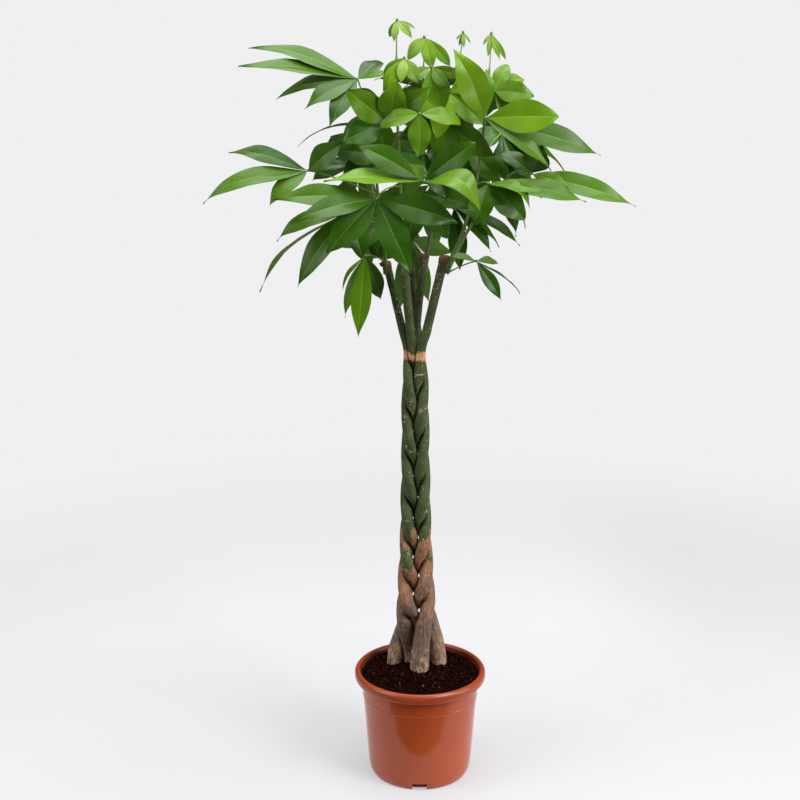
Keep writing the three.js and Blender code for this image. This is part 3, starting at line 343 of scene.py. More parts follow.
# Studio: the floor, the card, the camera, and the lights as (name, place, target, size, watts)
FLOOR_RADIUS = 2.4
FLOOR_SIDES = 96
FLOOR_BACK = (0.15, 0.75)
FLOOR_RIGHT = (0.25, 0.75)
FLOOR_FADE = (2.2, 0.9)
CARD_CORNERS = [(-1.5, -2.0, 0.001), (1.5, -2.0, 0.001), (1.5, -0.2, 0.001), (-1.5, -0.2, 0.001)]
AIR_STRENGTH = 0.07
LENS = 62.28
CAMERA_PLACE = (0, -2.4, 1.335)
CAMERA_TURN = (75.7, 0, 0.90)
LIGHTS = [
    ("key_right", (2.0, -1.6, 2.6), (0, 0, 1.0), (1.3, 1.9), 92),
    ("fill_left", (-2.2, -1.0, 2.0), (0, 0, 0.8), (1.7, 2.6), 46),
    ("low_right", (1.8, -0.5, 0.55), (0, 0, 0.2), (0.9, 0.9), 12),
    ("overhead", (0.1, 0.1, 3.3), (0, 0, 0), (2.4, 2.2), 92),
]


def both_ways(operation):
    """An operation of arithmetic with a Sum on its left, and with one on its right."""

    def left(value, other):
        return value.web.math(operation, value, other)

    def right(value, other):
        return value.web.math(operation, other, value)

    return left, right


class Sum:
    """A number, vector or colour that a node tree works out, on which plain arithmetic works."""

    def __init__(self, web, socket):
        self.web = web
        self.socket = socket

    __add__, __radd__ = both_ways("ADD")
    __sub__, __rsub__ = both_ways("SUBTRACT")
    __mul__, __rmul__ = both_ways("MULTIPLY")
    __truediv__ = both_ways("DIVIDE")[0]
    __pow__ = both_ways("POWER")[0]

    def __abs__(self):
        return self.web.math("ABSOLUTE", self)

    def scaled(self, factor):
        """The vector times a number."""
        return self.web.out("ShaderNodeVectorMath", {0: self, "Scale": factor}, operation="SCALE")

    def moved(self, other):
        """The vector plus another."""
        return self.web.vector("ADD", self, other)

    def cross(self, other):
        return self.web.vector("CROSS_PRODUCT", self, other)


class Web:
    """A node tree as it is woven. A value given to a node is a number, a colour or a Sum."""

    def __init__(self, tree):
        self.tree = tree

    @classmethod
    def group(cls, name, kind, takes, gives):
        """A new group. takes gives each input its start value or its kind, gives each output its kind."""
        web = cls(bpy.data.node_groups.new(name, kind))
        sockets = web.tree.interface
        for label, start in takes.items():
            sort = {float: "Float", int: "Int"}.get(type(start), start)
            made = sockets.new_socket(name=label, in_out="INPUT", socket_type="NodeSocket" + sort)
            if sort != start:
                made.default_value = start
        for label, sort in gives.items():
            sockets.new_socket(name=label, in_out="OUTPUT", socket_type="NodeSocket" + sort)
        web.entry = web.tree.nodes.new("NodeGroupInput")
        web.exit = web.tree.nodes.new("NodeGroupOutput")
        return web

    def given(self, label):
        return Sum(self, self.entry.outputs[label])

    def give(self, label, value):
        self.join(value, self.exit.inputs[label])

    def join(self, value, socket):
        if isinstance(value, Sum):
            self.tree.links.new(value.socket, socket)
        else:
            socket.default_value = value

    def feed(self, node, values):
        """Joins values to a node's inputs, several where the value is a list."""
        for key, value in values.items():
            for one in value if isinstance(value, list) else [value]:
                self.join(one, node.inputs[key])

    def add(self, kind, values=None, **settings):
        node = self.tree.nodes.new(kind)
        for name, setting in settings.items():
            setattr(node, name, setting)
        self.feed(node, values or {})
        return node

    def out(self, kind, values=None, output=0, **settings):
        """Adds a node and returns one of its outputs."""
        return Sum(self, self.add(kind, values, **settings).outputs[output])

    def math(self, operation, *values):
        return self.out("ShaderNodeMath", dict(enumerate(values)), operation=operation)

    def vector(self, operation, *values):
        return self.out("ShaderNodeVectorMath", dict(enumerate(values)), operation=operation)

    def parts(self, vector):
        """The X, Y and Z of a vector."""
        return [Sum(self, one) for one in self.add("ShaderNodeSeparateXYZ", {0: vector}).outputs]

    def gap(self, first, second):
        """How far apart two places are."""
        return self.out("ShaderNodeVectorMath", {0: first, 1: second}, "Value", operation="DISTANCE")

    def ramp(self, value, low, high, start=0.0, end=1.0):
        """The value eased from start at low to end at high."""
        values = {"Value": value, "From Min": low, "From Max": high, "To Min": start, "To Max": end}
        return self.out("ShaderNodeMapRange", values, interpolation_type="SMOOTHSTEP")

    def blend(self, share, first, second):
        """The first colour where share is 0, the second where it is 1."""
        node = self.add("ShaderNodeMix", data_type="RGBA")
        for key, value in (("Factor", share), ("A", first), ("B", second)):
            socket = next(s for s in node.inputs if s.name == key and s.enabled)
            self.join((*value, 1) if isinstance(value, tuple) else value, socket)
        return Sum(self, next(s for s in node.outputs if s.enabled))

    def coated(self, colour, *coats):
        """A colour under coats, each given as (share, colour)."""
        for share, coat in coats:
            colour = self.blend(share, colour, coat)
        return colour

    def use(self, group, values):
        """Places a shared group of a material."""
        node = self.tree.nodes.new("ShaderNodeGroup")
        node.node_tree = group
        self.feed(node, values)
        return Sum(self, node.outputs[0])

    def note(self, name, kind="FLOAT"):
        """A named attribute of the mesh that is being grown."""
        return self.out("GeometryNodeInputNamedAttribute", {"Name": name}, data_type=kind)

    def store(self, geometry, name, value, kind="FLOAT", domain="POINT"):
        values = {"Geometry": geometry, "Name": name, "Value": value}
        return self.out("GeometryNodeStoreNamedAttribute", values, data_type=kind, domain=domain)

    def joined(self, *parts):
        return self.out("GeometryNodeJoinGeometry", {0: list(parts)})

    def scattered(self, surface, density, seed):
        """Points strewn over a surface, and how each is turned to lie on it."""
        values = {"Mesh": surface, "Density": density, "Seed": seed}
        node = self.add("GeometryNodeDistributePointsOnFaces", values)
        return [Sum(self, node.outputs[label]) for label in ("Points", "Rotation")]

    def laid(self, points, shape, **more):
        """A shape at every point, as faces of its own."""
        laid = self.out("GeometryNodeInstanceOnPoints", {"Points": points, "Instance": shape, **more})
        return self.out("GeometryNodeRealizeInstances", {"Geometry": laid})

    def smoothed(self, geometry):
        return self.out("GeometryNodeSetShadeSmooth", {"Geometry": geometry})

    def painted(self, geometry, finish):
        return self.out("GeometryNodeSetMaterial", {"Geometry": geometry, "Material": self.given(finish)})

    def random(self, low, high, seed):
        values = {"Min": low, "Max": high, "Seed": seed}
        return self.out("FunctionNodeRandomValue", values, data_type="FLOAT_VECTOR")


def wobble(n):
    """A repeatable number from 0 to 1 for the index n."""
    s = math.sin(n * 12.9898) * 43758.5453
    return s - math.floor(s)


def at_height(rows, z):
    """The value at height z in a list of (height, value), straight between its rows."""
    return float(np.interp(z, [row[0] for row in rows], [row[1] for row in rows]))


def smooth(low, high, value):
    t = min(max((value - low) / (high - low), 0.0), 1.0)
    return t * t * (3 - 2 * t)


def mark(mesh, marks):
    """Puts numbers or vectors on the points of a mesh, as attributes by name."""
    for label, values in marks.items():
        flat = np.array(values, np.float32)
        kind, value = ("FLOAT_VECTOR", "vector") if flat.ndim == 2 else ("FLOAT", "value")
        mesh.attributes.new(label, kind, "POINT").data.foreach_set(value, flat.ravel())


def mesh_of(name, points, faces, marks=None):
    """A smooth mesh with points in millimetres and marks on them."""
    mesh = bpy.data.meshes.new(name)
    mesh.from_pydata([tuple(c * MM for c in p) for p in points], [], faces)
    mark(mesh, marks or {})
    mesh.polygons.foreach_set("use_smooth", [True] * len(mesh.polygons))
    mesh.update()
    return mesh


def shown(name, data):
    """A new object in the scene."""
    made = bpy.data.objects.new(name, data)
    bpy.context.scene.collection.objects.link(made)
    return made


def evaluated_mesh(host):
    return bpy.data.meshes.new_from_object(host.evaluated_get(bpy.context.evaluated_depsgraph_get()))


def piece_of(name, mesh, nodes):
    """Puts a finished mesh in the scene as a piece that stands for CAD nodes."""
    piece = shown(name, mesh)
    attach(piece, "root")
    if nodes:
        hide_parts(*nodes)


def grown(name, host_mesh, tree, values):
    """The plain mesh that a Geometry Nodes tree makes from a host mesh."""
    host = shown(name + "_host", host_mesh)
    modifier = host.modifiers.new("growth", "NODES")
    modifier.node_group = tree
    for item in tree.interface.items_tree:
        if item.item_type == "SOCKET" and item.in_out == "INPUT" and item.name in values:
            modifier[item.identifier] = values[item.name]
    mesh = evaluated_mesh(host)
    mesh.name = name
    host.modifiers.clear()
    bpy.data.objects.remove(host)
    return mesh


# Finishes


def mottle_group():
    """Soft-edged blotches of any size, from 0 to 1."""
    takes = {"Place": "Vector", "Scale": 40.0, "Detail": 4.0, "Low": 0.4, "High": 0.6}
    web = Web.group("mottle", "ShaderNodeTree", takes, {"Mask": "Float"})
    values = {"Vector": web.given("Place"), "Scale": web.given("Scale"), "Detail": web.given("Detail")}
    cloud = web.out("ShaderNodeTexNoise", {**values, "Roughness": 0.6})
    web.give("Mask", web.ramp(cloud, web.given("Low"), web.given("High")))
    return web.tree


MOTTLE = mottle_group()


class Finish(Web):
    """A new material, woven round its Principled shader. Its blotches are drawn on pattern."""

    def __init__(self, name):
        self.material = bpy.data.materials.new(name)
        self.material.use_nodes = True
        super().__init__(self.material.node_tree)
        self.shader = self.tree.nodes["Principled BSDF"]
        self.place = self.out("ShaderNodeTexCoord", output="Object")
        self.pattern = self.place

    def mottle(self, scale, low, high, detail=4.0, stretch=1.0):
        """Blotches from 0 to 1, drawn out upwards where stretch is under 1 and flat where it is over."""
        place = self.pattern
        if stretch != 1.0:
            place = self.vector("MULTIPLY", place, (1.0, 1.0, stretch))
        return self.use(MOTTLE, {"Place": place, "Scale": scale, "Low": low, "High": high, "Detail": detail})

    def attribute(self, name, output="Fac"):
        return self.out("ShaderNodeAttribute", output=output, attribute_name=name)

    def bump(self, height, distance, strength=1.0):
        return self.out("ShaderNodeBump", {"Height": height, "Distance": distance, "Strength": strength})

    def glow(self, seen, spread):
        """Light that shows as seen, and that lights other pieces as spread."""
        diffuse = self.out("ShaderNodeLightPath", output="Is Diffuse Ray")
        return {"Emission Color": self.blend(diffuse, seen, spread), "Emission Strength": 1.0}

    def dressed(self, values):
        """The finished material, with values in its shader."""
        self.feed(self.shader, values)
        return self.material


def pot_finish():
    """Moulded terracotta-coloured plastic: glossy, with faint flow streaks, fine scuffs, dust low down,
    a darker inside of the rim above the soil, and painted shade that darkens the rim."""
    web = Finish("terracotta plastic")
    height = web.parts(web.place)[2]
    radius = web.gap(web.vector("MULTIPLY", web.place, (1.0, 1.0, 0.0)), (0.0, 0.0, 0.0))
    rim_foot = (POT_HEIGHT - RIM_DEPTH) * MM
    inner = (RIM_RADIUS - RIM_WIDTH) * MM
    cloud = web.mottle(9.0, 0.3, 0.7)
    streaks = web.mottle(160.0, 0.3, 0.7, stretch=0.08)
    scuffs = web.mottle(70.0, 0.60, 0.72, 8.0, 3.0)
    fine = web.mottle(500.0, 0.3, 0.7, 2.0)
    dust = web.mottle(45.0, 0.48, 0.72) * web.ramp(height, *DUST_LEVEL, 0.0, 0.35)
    # The rim: rougher, and darkened with painted shade
    rim = web.ramp(height, rim_foot, rim_foot + 0.006)
    # Darker on the inside of the rim, above the soil
    rim_inside = web.ramp(radius, inner + 0.0030, inner - 0.0002) * web.ramp(height, *RIM_INSIDE_LEVEL)
    colour = web.coated(
        web.blend(cloud, *PLASTIC), (0.25 * streaks, PLASTIC_STREAK), (dust + 0.08 * scuffs, POT_DUST),
        (0.7 * rim, PAINTED_RIM_SHADE), (0.75 * rim_inside, RIM_INSIDE_DARK))
    return web.dressed({
        "Base Color": colour, "Roughness": 0.10 + 0.03 * fine + 0.10 * scuffs + 0.35 * dust + 0.20 * rim,
        "Specular IOR Level": 0.50, "Normal": web.bump(fine + 0.6 * streaks, 0.00005, 0.5)})


def soil_finish(name, colours, scale):
    """Moist potting mix: nearly black, with browner grains."""
    web = Finish(name)
    grains = web.mottle(scale, 0.42, 0.62, 6.0)
    fine = web.mottle(scale * 5, 0.35, 0.65)
    return web.dressed({
        "Base Color": web.blend(grains, *colours), "Roughness": 0.86 + 0.12 * fine,
        "Specular IOR Level": 0.03, "Normal": web.bump(fine, 0.0008)})


def bark_finish():
    """Bark of the stems: green above, with pale corky flecks in clusters. Lower down it turns in patches
    to orange-tan and then to grey-brown wood, with ragged pale ends at the soil. A tan scar shows where
    the stems were tied, with painted shadow along its edges, and the tops are healed over."""
    web = Finish("money tree bark")
    wide, _, height = web.parts(web.place)
    web.pattern = web.attribute("grain", "Vector")
    streaks = web.mottle(420.0, 0.32, 0.68, 6.0, 0.24)
    blotches = web.mottle(48.0, 0.35, 0.65)
    islands = web.mottle(21.0, 0.42, 0.58, 6.0, 0.8)
    pores = web.mottle(800.0, 0.4, 0.6, 2.0)
    specks = web.mottle(420.0, 0.52, 0.60, 3.0, 0.6)
    clusters = web.mottle(33.0, 0.58, 0.66, 4.0, 0.5)
    patches = web.mottle(38.0, 0.655, 0.685, 9.0, 1.5)
    rings = web.mottle(23.0, 0.662, 0.69, 4.0, 6.0)
    flecks = web.mottle(260.0, 0.66, 0.71, 3.0)
    chips = web.mottle(210.0, 0.44, 0.51, 6.0, 0.5)
    pits = web.mottle(330.0, 0.60, 0.66, 3.0, 0.7)

    # Green turns to tan at a ragged border, tan to grey lower down, the foot is torn, and the feet are paler
    # towards +X
    border = height + 0.11 * (islands - 0.5) + 0.02 * (blotches - 0.5)
    for spot, reach, lift in GREEN_SPOTS:
        border = border + lift * web.ramp(web.gap(web.place, spot), reach, 0.6 * reach)
    brown = web.ramp(border, *GREEN_ENDS)
    above = 1.0 - brown
    low = web.ramp(height + 0.06 * (islands - 0.5), *GREY_STARTS)
    pale_side = web.ramp(wide, *PALE_FOOT_SIDE) * web.ramp(height, *PALE_FOOT_LEVEL)
    torn = web.ramp(height + 0.040 * (blotches - 0.5) + 0.020 * (chips - 0.5), *TORN_LEVEL)

    # Corky scars, the band where the stems were tied with painted shadow along its edges, and the healed top
    scars = web.math("MAXIMUM", patches * (0.35 + 0.65 * above), rings * above)
    scars = web.math("MAXIMUM", scars, clusters * specks)
    from_tie = abs(height + 0.010 * (islands - 0.5) + 0.004 * (pores - 0.5) - TIE_SCAR)
    band = web.ramp(from_tie, *BAND_WIDTH)
    # tied marks the painted shadow along both edges of the tie band
    tied = web.ramp(from_tie, *EDGE_SHADOW_INSIDE) * web.ramp(from_tie, *EDGE_SHADOW_OUTSIDE)
    healed = web.attribute("healed") + 0.30 * (blotches - 0.5) + 0.15 * (pores - 0.5)
    top = web.ramp(healed, 0.42, 0.55)

    green = web.coated(web.blend(blotches, *GREEN_BARK), (0.35 * streaks, GREEN_STREAK))
    wood = web.blend(low, web.blend(streaks, *TAN_BARK), web.blend(streaks, *GREY_BARK))
    callus = web.coated(web.blend(blotches, *CALLUS), (0.5 * streaks, CALLUS_STREAK))
    colour = web.coated(
        web.blend(brown, green, wood), (0.85 * scars, web.blend(pores, *CORK)), (0.75 * flecks, CORK_FLECK),
        (0.45 * pale_side, PALE_FOOT), (0.9 * torn * chips, web.blend(pores, *TORN_FOOT)),
        (0.8 * torn * pits, FOOT_PIT), (band, web.blend(streaks, *TIE_BAND)),
        (0.7 * tied * blotches, TIE_EDGE_SHADOW), (top, callus))
    relief = streaks * (0.15 + 0.75 * brown) + 0.8 * scars + 0.35 * pores * (0.4 + brown)
    return web.dressed({
        "Base Color": colour, "Roughness": 0.48 + 0.22 * streaks + 0.15 * pores, "Specular IOR Level": 0.27,
        "Normal": web.bump(relief + 0.6 * top * streaks, 0.0009, 0.9)})


def shoot_finish(name, colours):
    """Young green wood of the shoots and leaf stalks, with fine lengthwise streaks."""
    web = Finish(name)
    streaks = web.mottle(300.0, 0.35, 0.65, stretch=0.2)
    return web.dressed({
        "Base Color": web.blend(streaks, *colours), "Roughness": 0.42 + 0.15 * streaks,
        "Normal": web.bump(streaks, 0.0001)})


def wart_finish():
    """Small corky spots on the bark."""
    web = Finish("corky spots")
    grains = web.mottle(900.0, 0.35, 0.65)
    return web.dressed({"Base Color": web.blend(grains, *WARTS), "Roughness": 0.75 + 0.1 * grains})


def leaf_finish():
    """A waxy leaflet. age_and_light runs from 0, old and dark, to 1, young and yellow-green, and on some
    leaflets it is set paler for a painted sheen and painted light, and darker for painted shade; tone is its
    own shade.
    The under side is duller and paler, the midrib and the side veins are pale and pressed in."""
    web = Finish("money tree leaf")
    wide, along, _ = web.parts(web.out("ShaderNodeUVMap", uv_map="blade"))
    across = abs(wide - 0.5) * 2.0
    age_and_light, tone, under, length = [web.attribute(name) for name in ("age_and_light", "tone", "under", "length")]
    cloud = web.mottle(30.0, 0.3, 0.7)
    pairs = 6.0 + 50.0 * length
    turn = pairs * (along - 0.17 * across + 0.06 * across * across) + 0.25 * tone
    lines = abs(web.math("FRACT", turn) - 0.5) * 2.0
    veins = web.ramp(lines, 0.84, 0.98) * web.ramp(across, 0.98, 0.7)
    rib = web.ramp(across, 0.070, 0.02)
    small = web.ramp(length, 0.060, 0.035)
    pale = web.blend(age_and_light, *LEAF_VEIN)
    colour = web.coated(
        web.blend(age_and_light, web.blend(tone, *OLD_LEAF), web.blend(tone, *YOUNG_LEAF)),
        (0.25 * cloud, LEAF_CLOUD), (0.45 * small, BUD_LEAF),
        (0.14 * veins * web.ramp(length, 0.05, 0.11), pale), (0.75 * rib, pale),
        (0.50 * under, web.blend(age_and_light, *LEAF_UNDER)))
    quilt = web.math("SINE", turn * (2 * math.pi)) * 0.10 * web.ramp(across, 1.0, 0.4)
    height = (quilt - 0.20 * veins) * web.ramp(length, 0.06, 0.14) - 0.8 * rib * web.ramp(length, 0.04, 0.16)
    return web.dressed({
        "Base Color": colour, "Roughness": 0.29 + 0.08 * cloud + 0.28 * under, "Specular IOR Level": 0.24,
        "Normal": web.bump(height, 0.0004, 0.5)})


def floor_finish():
    """A pale floor lit from within, with the faintest grain. It is brighter towards the back, has painted
    shade towards the right, and runs out into the studio's pale air."""
    web = Finish("pale floor")
    x, y, _ = web.parts(web.place)
    back = web.ramp(y, *FLOOR_BACK)
    # right marks the painted shade on the floor towards the right
    right = web.ramp(x, *FLOOR_RIGHT)
    seen = web.coated(web.blend(back, *FLOOR_SEEN), (0.8 * right, FLOOR_SHADE_RIGHT))
    return web.dressed({
        "Base Color": web.blend(web.mottle(3.0, 0.3, 0.7), *FLOOR), **web.glow(seen, FLOOR_GLOW),
        "Roughness": 0.9, "Specular IOR Level": 0.1,
        "Alpha": web.ramp(web.gap(web.place, (0.0, 0.0, 0.0)), *FLOOR_FADE)})


def card_finish():
    """A black card that gives off a dim light."""
    web = Finish("black card")
    colour = web.blend(web.mottle(5.0, 0.3, 0.7), *CARD)
    return web.dressed({"Base Color": colour, **web.glow(CARD_SEEN, CARD_GLOW)})


# Pot and soil


def rounded(outline, steps=4, longest=5.0):
    """An outline with each corner replaced by an arc-like curve of its own rounding, and its long
    stretches cut short, so that the shading of one doesn't run into the next."""
    made = []
    for i, (radius, height, rounding) in enumerate(outline):
        corner = Vector((radius, height))
        if rounding == 0:
            made.append(corner)
            continue
        before = Vector(outline[i - 1][:2]) - corner
        after = Vector(outline[i + 1][:2]) - corner
        start = corner + before.normalized() * min(rounding, before.length * 0.45)
        end = corner + after.normalized() * min(rounding, after.length * 0.45)
        for step in range(steps + 1):
            t = step / steps
            made.append(start * (1 - t) ** 2 + corner * 2 * t * (1 - t) + end * t * t)
    fine = [made[0]]
    for point in made[1:]:
        start = fine[-1]
        cuts = max(1, math.ceil((point - start).length / longest))
        fine += [start.lerp(point, (i + 1) / cuts) for i in range(cuts)]
    return fine


def turned(outline, segments):
    """Points and faces of an outline turned round the Z axis; it starts and ends on the axis."""
    rows = outline[1:-1]
    points = [(0, 0, outline[0].y), (0, 0, outline[-1].y)]
    for row in rows:
        for i in range(segments):
            angle = 2 * math.pi * i / segments
            points.append((row.x * math.cos(angle), row.x * math.sin(angle), row.y))
    faces = []
    last = 2 + (len(rows) - 1) * segments
    for i in range(segments):
        j = (i + 1) % segments
        faces.append((0, 2 + j, 2 + i))
        faces.append((1, last + i, last + j))
        for row in range(len(rows) - 1):
            low = 2 + row * segments
            high = low + segments
            faces.append((low + i, low + j, high + j, high + i))
    return points, faces


def notch_cutters():
    """Boxes that cut the drainage notches out of the pot's foot."""
    cutter = bmesh.new()
    for i in range(NOTCH_COUNT):
        made = bmesh.ops.create_cube(cutter, size=1)["verts"]
        bmesh.ops.scale(cutter, vec=Vector((NOTCH_WIDTH, NOTCH_DEPTH, 2 * NOTCH_HEIGHT)) * MM, verts=made)
        bmesh.ops.translate(cutter, vec=(0, -POT_WALL[0][1] * MM, 0), verts=made)
        turn = Matrix.Rotation(2 * math.pi * i / NOTCH_COUNT, 3, "Z")
        bmesh.ops.rotate(cutter, cent=(0, 0, 0), matrix=turn, verts=made)
    mesh = bpy.data.meshes.new("notch_cutters")
    cutter.to_mesh(mesh)
    cutter.free()
    return mesh


def pot_outline():
    """The section of the pot as (radius, height, rounding), up the outside and down the inside."""
    outside = []
    for height, radius, rounding in POT_WALL:
        if height == BEAD_LEVEL:
            outside += [(radius - 0.3, height - 1.3, 0.4), (radius + 0.35, height - 0.6, 0.4)]
            outside += [(radius + 0.4, height + 0.5, 0.4), (radius, height + 1.2, 0.4)]
        else:
            outside.append((radius, height, rounding))
    foot = POT_HEIGHT - RIM_DEPTH
    inner = RIM_RADIUS - RIM_WIDTH
    rim = [(RIM_RADIUS - 1.5, foot, 1.2), (RIM_RADIUS, foot + 5, 3), (RIM_RADIUS, POT_HEIGHT - 4.5, 3)]
    rim += [(RIM_RADIUS - 4, POT_HEIGHT, 3), (inner + 3, POT_HEIGHT, 2), (inner, POT_HEIGHT - 3, 2)]
    inside = [(radius - WALL, height, rounding) for height, radius, rounding in reversed(POT_WALL[2:])]
    inside[0] = (inside[0][0], foot - WALL, 2)
    return [(0, 0, 0), *outside, *rim, *inside, (POT_WALL[0][1] - WALL - 1, POT_FLOOR, 3), (0, POT_FLOOR, 0)]


def make_pot(finish):
    points, faces = turned(rounded(pot_outline()), POT_SEGMENTS)
    shell = shown("pot_shell_host", mesh_of("pot_shell", points, faces))
    cutters = shown("notch_cutters", notch_cutters())
    cut = shell.modifiers.new("notches", "BOOLEAN")
    cut.object = cutters
    cut.operation = "DIFFERENCE"
    cut.solver = "EXACT"
    mesh = evaluated_mesh(shell)
    for part in (shell, cutters):
        bpy.data.objects.remove(part)
    mesh.polygons.foreach_set("use_smooth", [True] * len(mesh.polygons))
    mesh.set_sharp_from_angle(angle=math.radians(POT_CREASE))
    mesh.materials.append(finish)
    piece_of("pot_shell", mesh, ["pot"])


def soil_height(x, y):
    """The top of the soil: level, mounded to the trunk, lumpy."""
    near = math.exp(-((math.hypot(x - TRUNK_FOOT[0], y - TRUNK_FOOT[1]) / SOIL_SPREAD) ** 2))
    lumps = 2.2 * noise.noise(Vector((x, y, 0)) / 17) + 1.9 * noise.noise(Vector((x, y, 40)) / 7)
    lumps += 1.2 * noise.noise(Vector((x, y, 80)) / 3)
    lumps += 3.6 * noise.noise(Vector((x, y, 120)) / 11) * near
    return SOIL_LEVEL - 1 + SOIL_MOUND * near + lumps


def soil_mesh():
    points = [(0, 0, soil_height(0, 0))]
    for ring in range(1, SOIL_RINGS + 1):
        radius = SOIL_EDGE * ring / SOIL_RINGS
        for i in range(SOIL_SIDES):
            angle = 2 * math.pi * (i + 0.5 * (ring % 2)) / SOIL_SIDES
            x = radius * math.cos(angle)
            y = radius * math.sin(angle)
            points.append((x, y, soil_height(x, y)))
    top_count = len(points)
    for i in range(SOIL_SIDES):
        angle = 2 * math.pi * i / SOIL_SIDES
        points.append(((SOIL_EDGE - 3) * math.cos(angle), (SOIL_EDGE - 3) * math.sin(angle), SOIL_FOOT))
    points.append((0, 0, SOIL_FOOT))
    faces = []
    for i in range(SOIL_SIDES):
        j = (i + 1) % SOIL_SIDES
        faces.append((0, 1 + i, 1 + j))
        for ring in range(SOIL_RINGS):
            low = 1 + ring * SOIL_SIDES
            faces.append((low + i, low + SOIL_SIDES + i, low + SOIL_SIDES + j, low + j))
        faces.append((len(points) - 1, top_count + j, top_count + i))
    upper = [1.0 if i < top_count - SOIL_SIDES else 0.0 for i in range(len(points))]
    return mesh_of("soil_bed", points, faces, {"upper": upper})


def crumb_tree():
    """Scatters round grains, chips and short fibres over the top of the soil."""
    web = Web.group("crumbs", "GeometryNodeTree", {
        "Soil": "Geometry", "Grain size": 1.9 * MM, "Grain density": 62000.0, "Chip density": 2600.0,
        "Fibre density": 5200.0, "Seed": 7, "Grains": "Material", "Chips": "Material",
    }, {"Crumbs": "Geometry"})
    upper = web.note("upper")

    def scatter(density, step, shape, low, high, material):
        points, _ = web.scattered(web.given("Soil"), web.given(density) * upper, web.given("Seed") + step)
        turn = web.random((0, 0, 0), (6.283, 6.283, 6.283), 11 + step)
        size = web.random(low, high, 5 + step)
        return web.painted(web.laid(points, shape, Rotation=turn, Scale=size), material)

    grain = web.out("GeometryNodeMeshIcoSphere", {"Radius": web.given("Grain size"), "Subdivisions": 1})
    chip = web.out("GeometryNodeMeshCube", {"Size": (1, 1, 1)})
    stick = web.out("GeometryNodeMeshCylinder", {"Vertices": 5, "Radius": 0.5, "Depth": 1.0}, "Mesh")
    web.give("Crumbs", web.joined(
        scatter("Grain density", 1, grain, (0.35, 0.35, 0.3), (1.5, 1.3, 1.1), "Grains"),
        scatter("Chip density", 2, chip, (1.5 * MM, 1 * MM, 0.5 * MM), (6 * MM, 3 * MM, 1.4 * MM), "Chips"),
        scatter("Fibre density", 3, stick, (0.3 * MM, 0.3 * MM, 4 * MM), (0.6 * MM, 0.6 * MM, 15 * MM),
                "Chips")))
    return web.tree


# Plaited stems


def strand_phase(k, z):
    growth = (PITCH_HIGH - PITCH_LOW) / (TIE_LEVEL - PLAIT_BOTTOM)
    pitch = PITCH_LOW + growth * (max(z, PLAIT_BOTTOM) - PLAIT_BOTTOM)
    below = math.log(PITCH_HIGH / pitch) / growth
    return 2 * math.pi * (PHASE_AT_TIE + below + k) / STRANDS


def strand_centre(k, z):
    """Seen from above a strand runs along a flat figure of eight, a fifth of a turn behind its neighbour."""
    top = STEMS[k].top
    share = min(max((z - SOIL_LINE) / (TIE_LEVEL - SOIL_LINE), 0), 1)
    phase = strand_phase(k, min(z, TIE_LEVEL))
    tie_phase = strand_phase(k, TIE_LEVEL)
    to_foot = 1 - smooth(SOIL_LINE, PLAIT_BOTTOM + 24, z)
    spread = smooth(TIE_LEVEL - 10, TIE_LEVEL + 50, z)
    out = max(0, (z - TIE_LEVEL) / (top[2] - TIE_LEVEL))
    sizes = ((HALF_WIDTH, math.cos(phase), math.cos(tie_phase)),
             (HALF_DEPTH, math.sin(2 * phase), math.sin(2 * tie_phase)))
    centre = []
    for i, (half, swing, tie_swing) in enumerate(sizes):
        middle = TRUNK_FOOT[i] + (TRUNK_TIE[i] - TRUNK_FOOT[i]) * share
        plait = middle - at_height(half, z) * swing
        tied = TRUNK_TIE[i] - at_height(half, TIE_LEVEL) * tie_swing
        low = plait + (TRUNK_FOOT[i] + STEMS[k].foot[i] - plait) * to_foot
        straight = tied + (top[i] - tied) * out
        centre.append(low + (straight - low) * spread)
    return Vector(centre)


def strand_radius(k, z):
    plain = at_height(STRAND_RADIUS, z)
    low = plain + (STEMS[k].foot_radius - plain) * (1 - smooth(SOIL_LINE, PLAIT_BOTTOM, z))
    return low + (STEMS[k].top_radius - low) * smooth(TIE_LEVEL, TIE_LEVEL + 80, z)


def strand_reach(k, z, angles, scale):
    """How far the strand's surface is from its middle in each direction: round, but pressed flat
    where it meets its neighbours, with soft edges between."""
    centre = strand_centre(k, z)
    radius = strand_radius(k, z) * scale
    inverse = np.full(len(angles), radius ** -STRAND_ROUNDNESS)
    for j in range(STRANDS):
        if j == k or z > STEMS[j].top[2]:
            continue
        for level in (z - 5, z, z + 5):
            own = strand_centre(k, level)
            other = strand_centre(j, level)
            way = (other - own).normalized()
            wall = ((own + other) / 2 - centre).dot(way) - STRAND_CLEARANCE
            cosine = np.cos(angles) * way.x + np.sin(angles) * way.y
            reach = np.where(cosine > 0.05, wall / np.maximum(cosine, 0.05), 1e3)
            inverse += np.maximum(reach, 1.0) ** -STRAND_ROUNDNESS
    return inverse ** (-1 / STRAND_ROUNDNESS)


def relief(k, angle, z):
    """Grooves and old leaf scars on the bark, in millimetres, deeper towards the soil."""
    rough = 1 - smooth(330, 440, z)
    turn = Vector((math.cos(angle), math.sin(angle), 0))
    grooves = noise.noise(turn * 3.2 + Vector((k * 9, 0, z / 34)))
    creases = noise.noise(turn * 6.5 + Vector((k * 3, 5, z / 20)))
    knots = noise.noise(turn * 1.1 + Vector((k * 5, 3, z / 22)))
    ends = (1 - smooth(205, 228, z)) * noise.noise(turn * 2.6 + Vector((k * 2, 1, z / 6)))
    return grooves * (0.2 + 0.8 * rough) + 0.5 * creases * rough + 0.45 * knots + 1.6 * ends


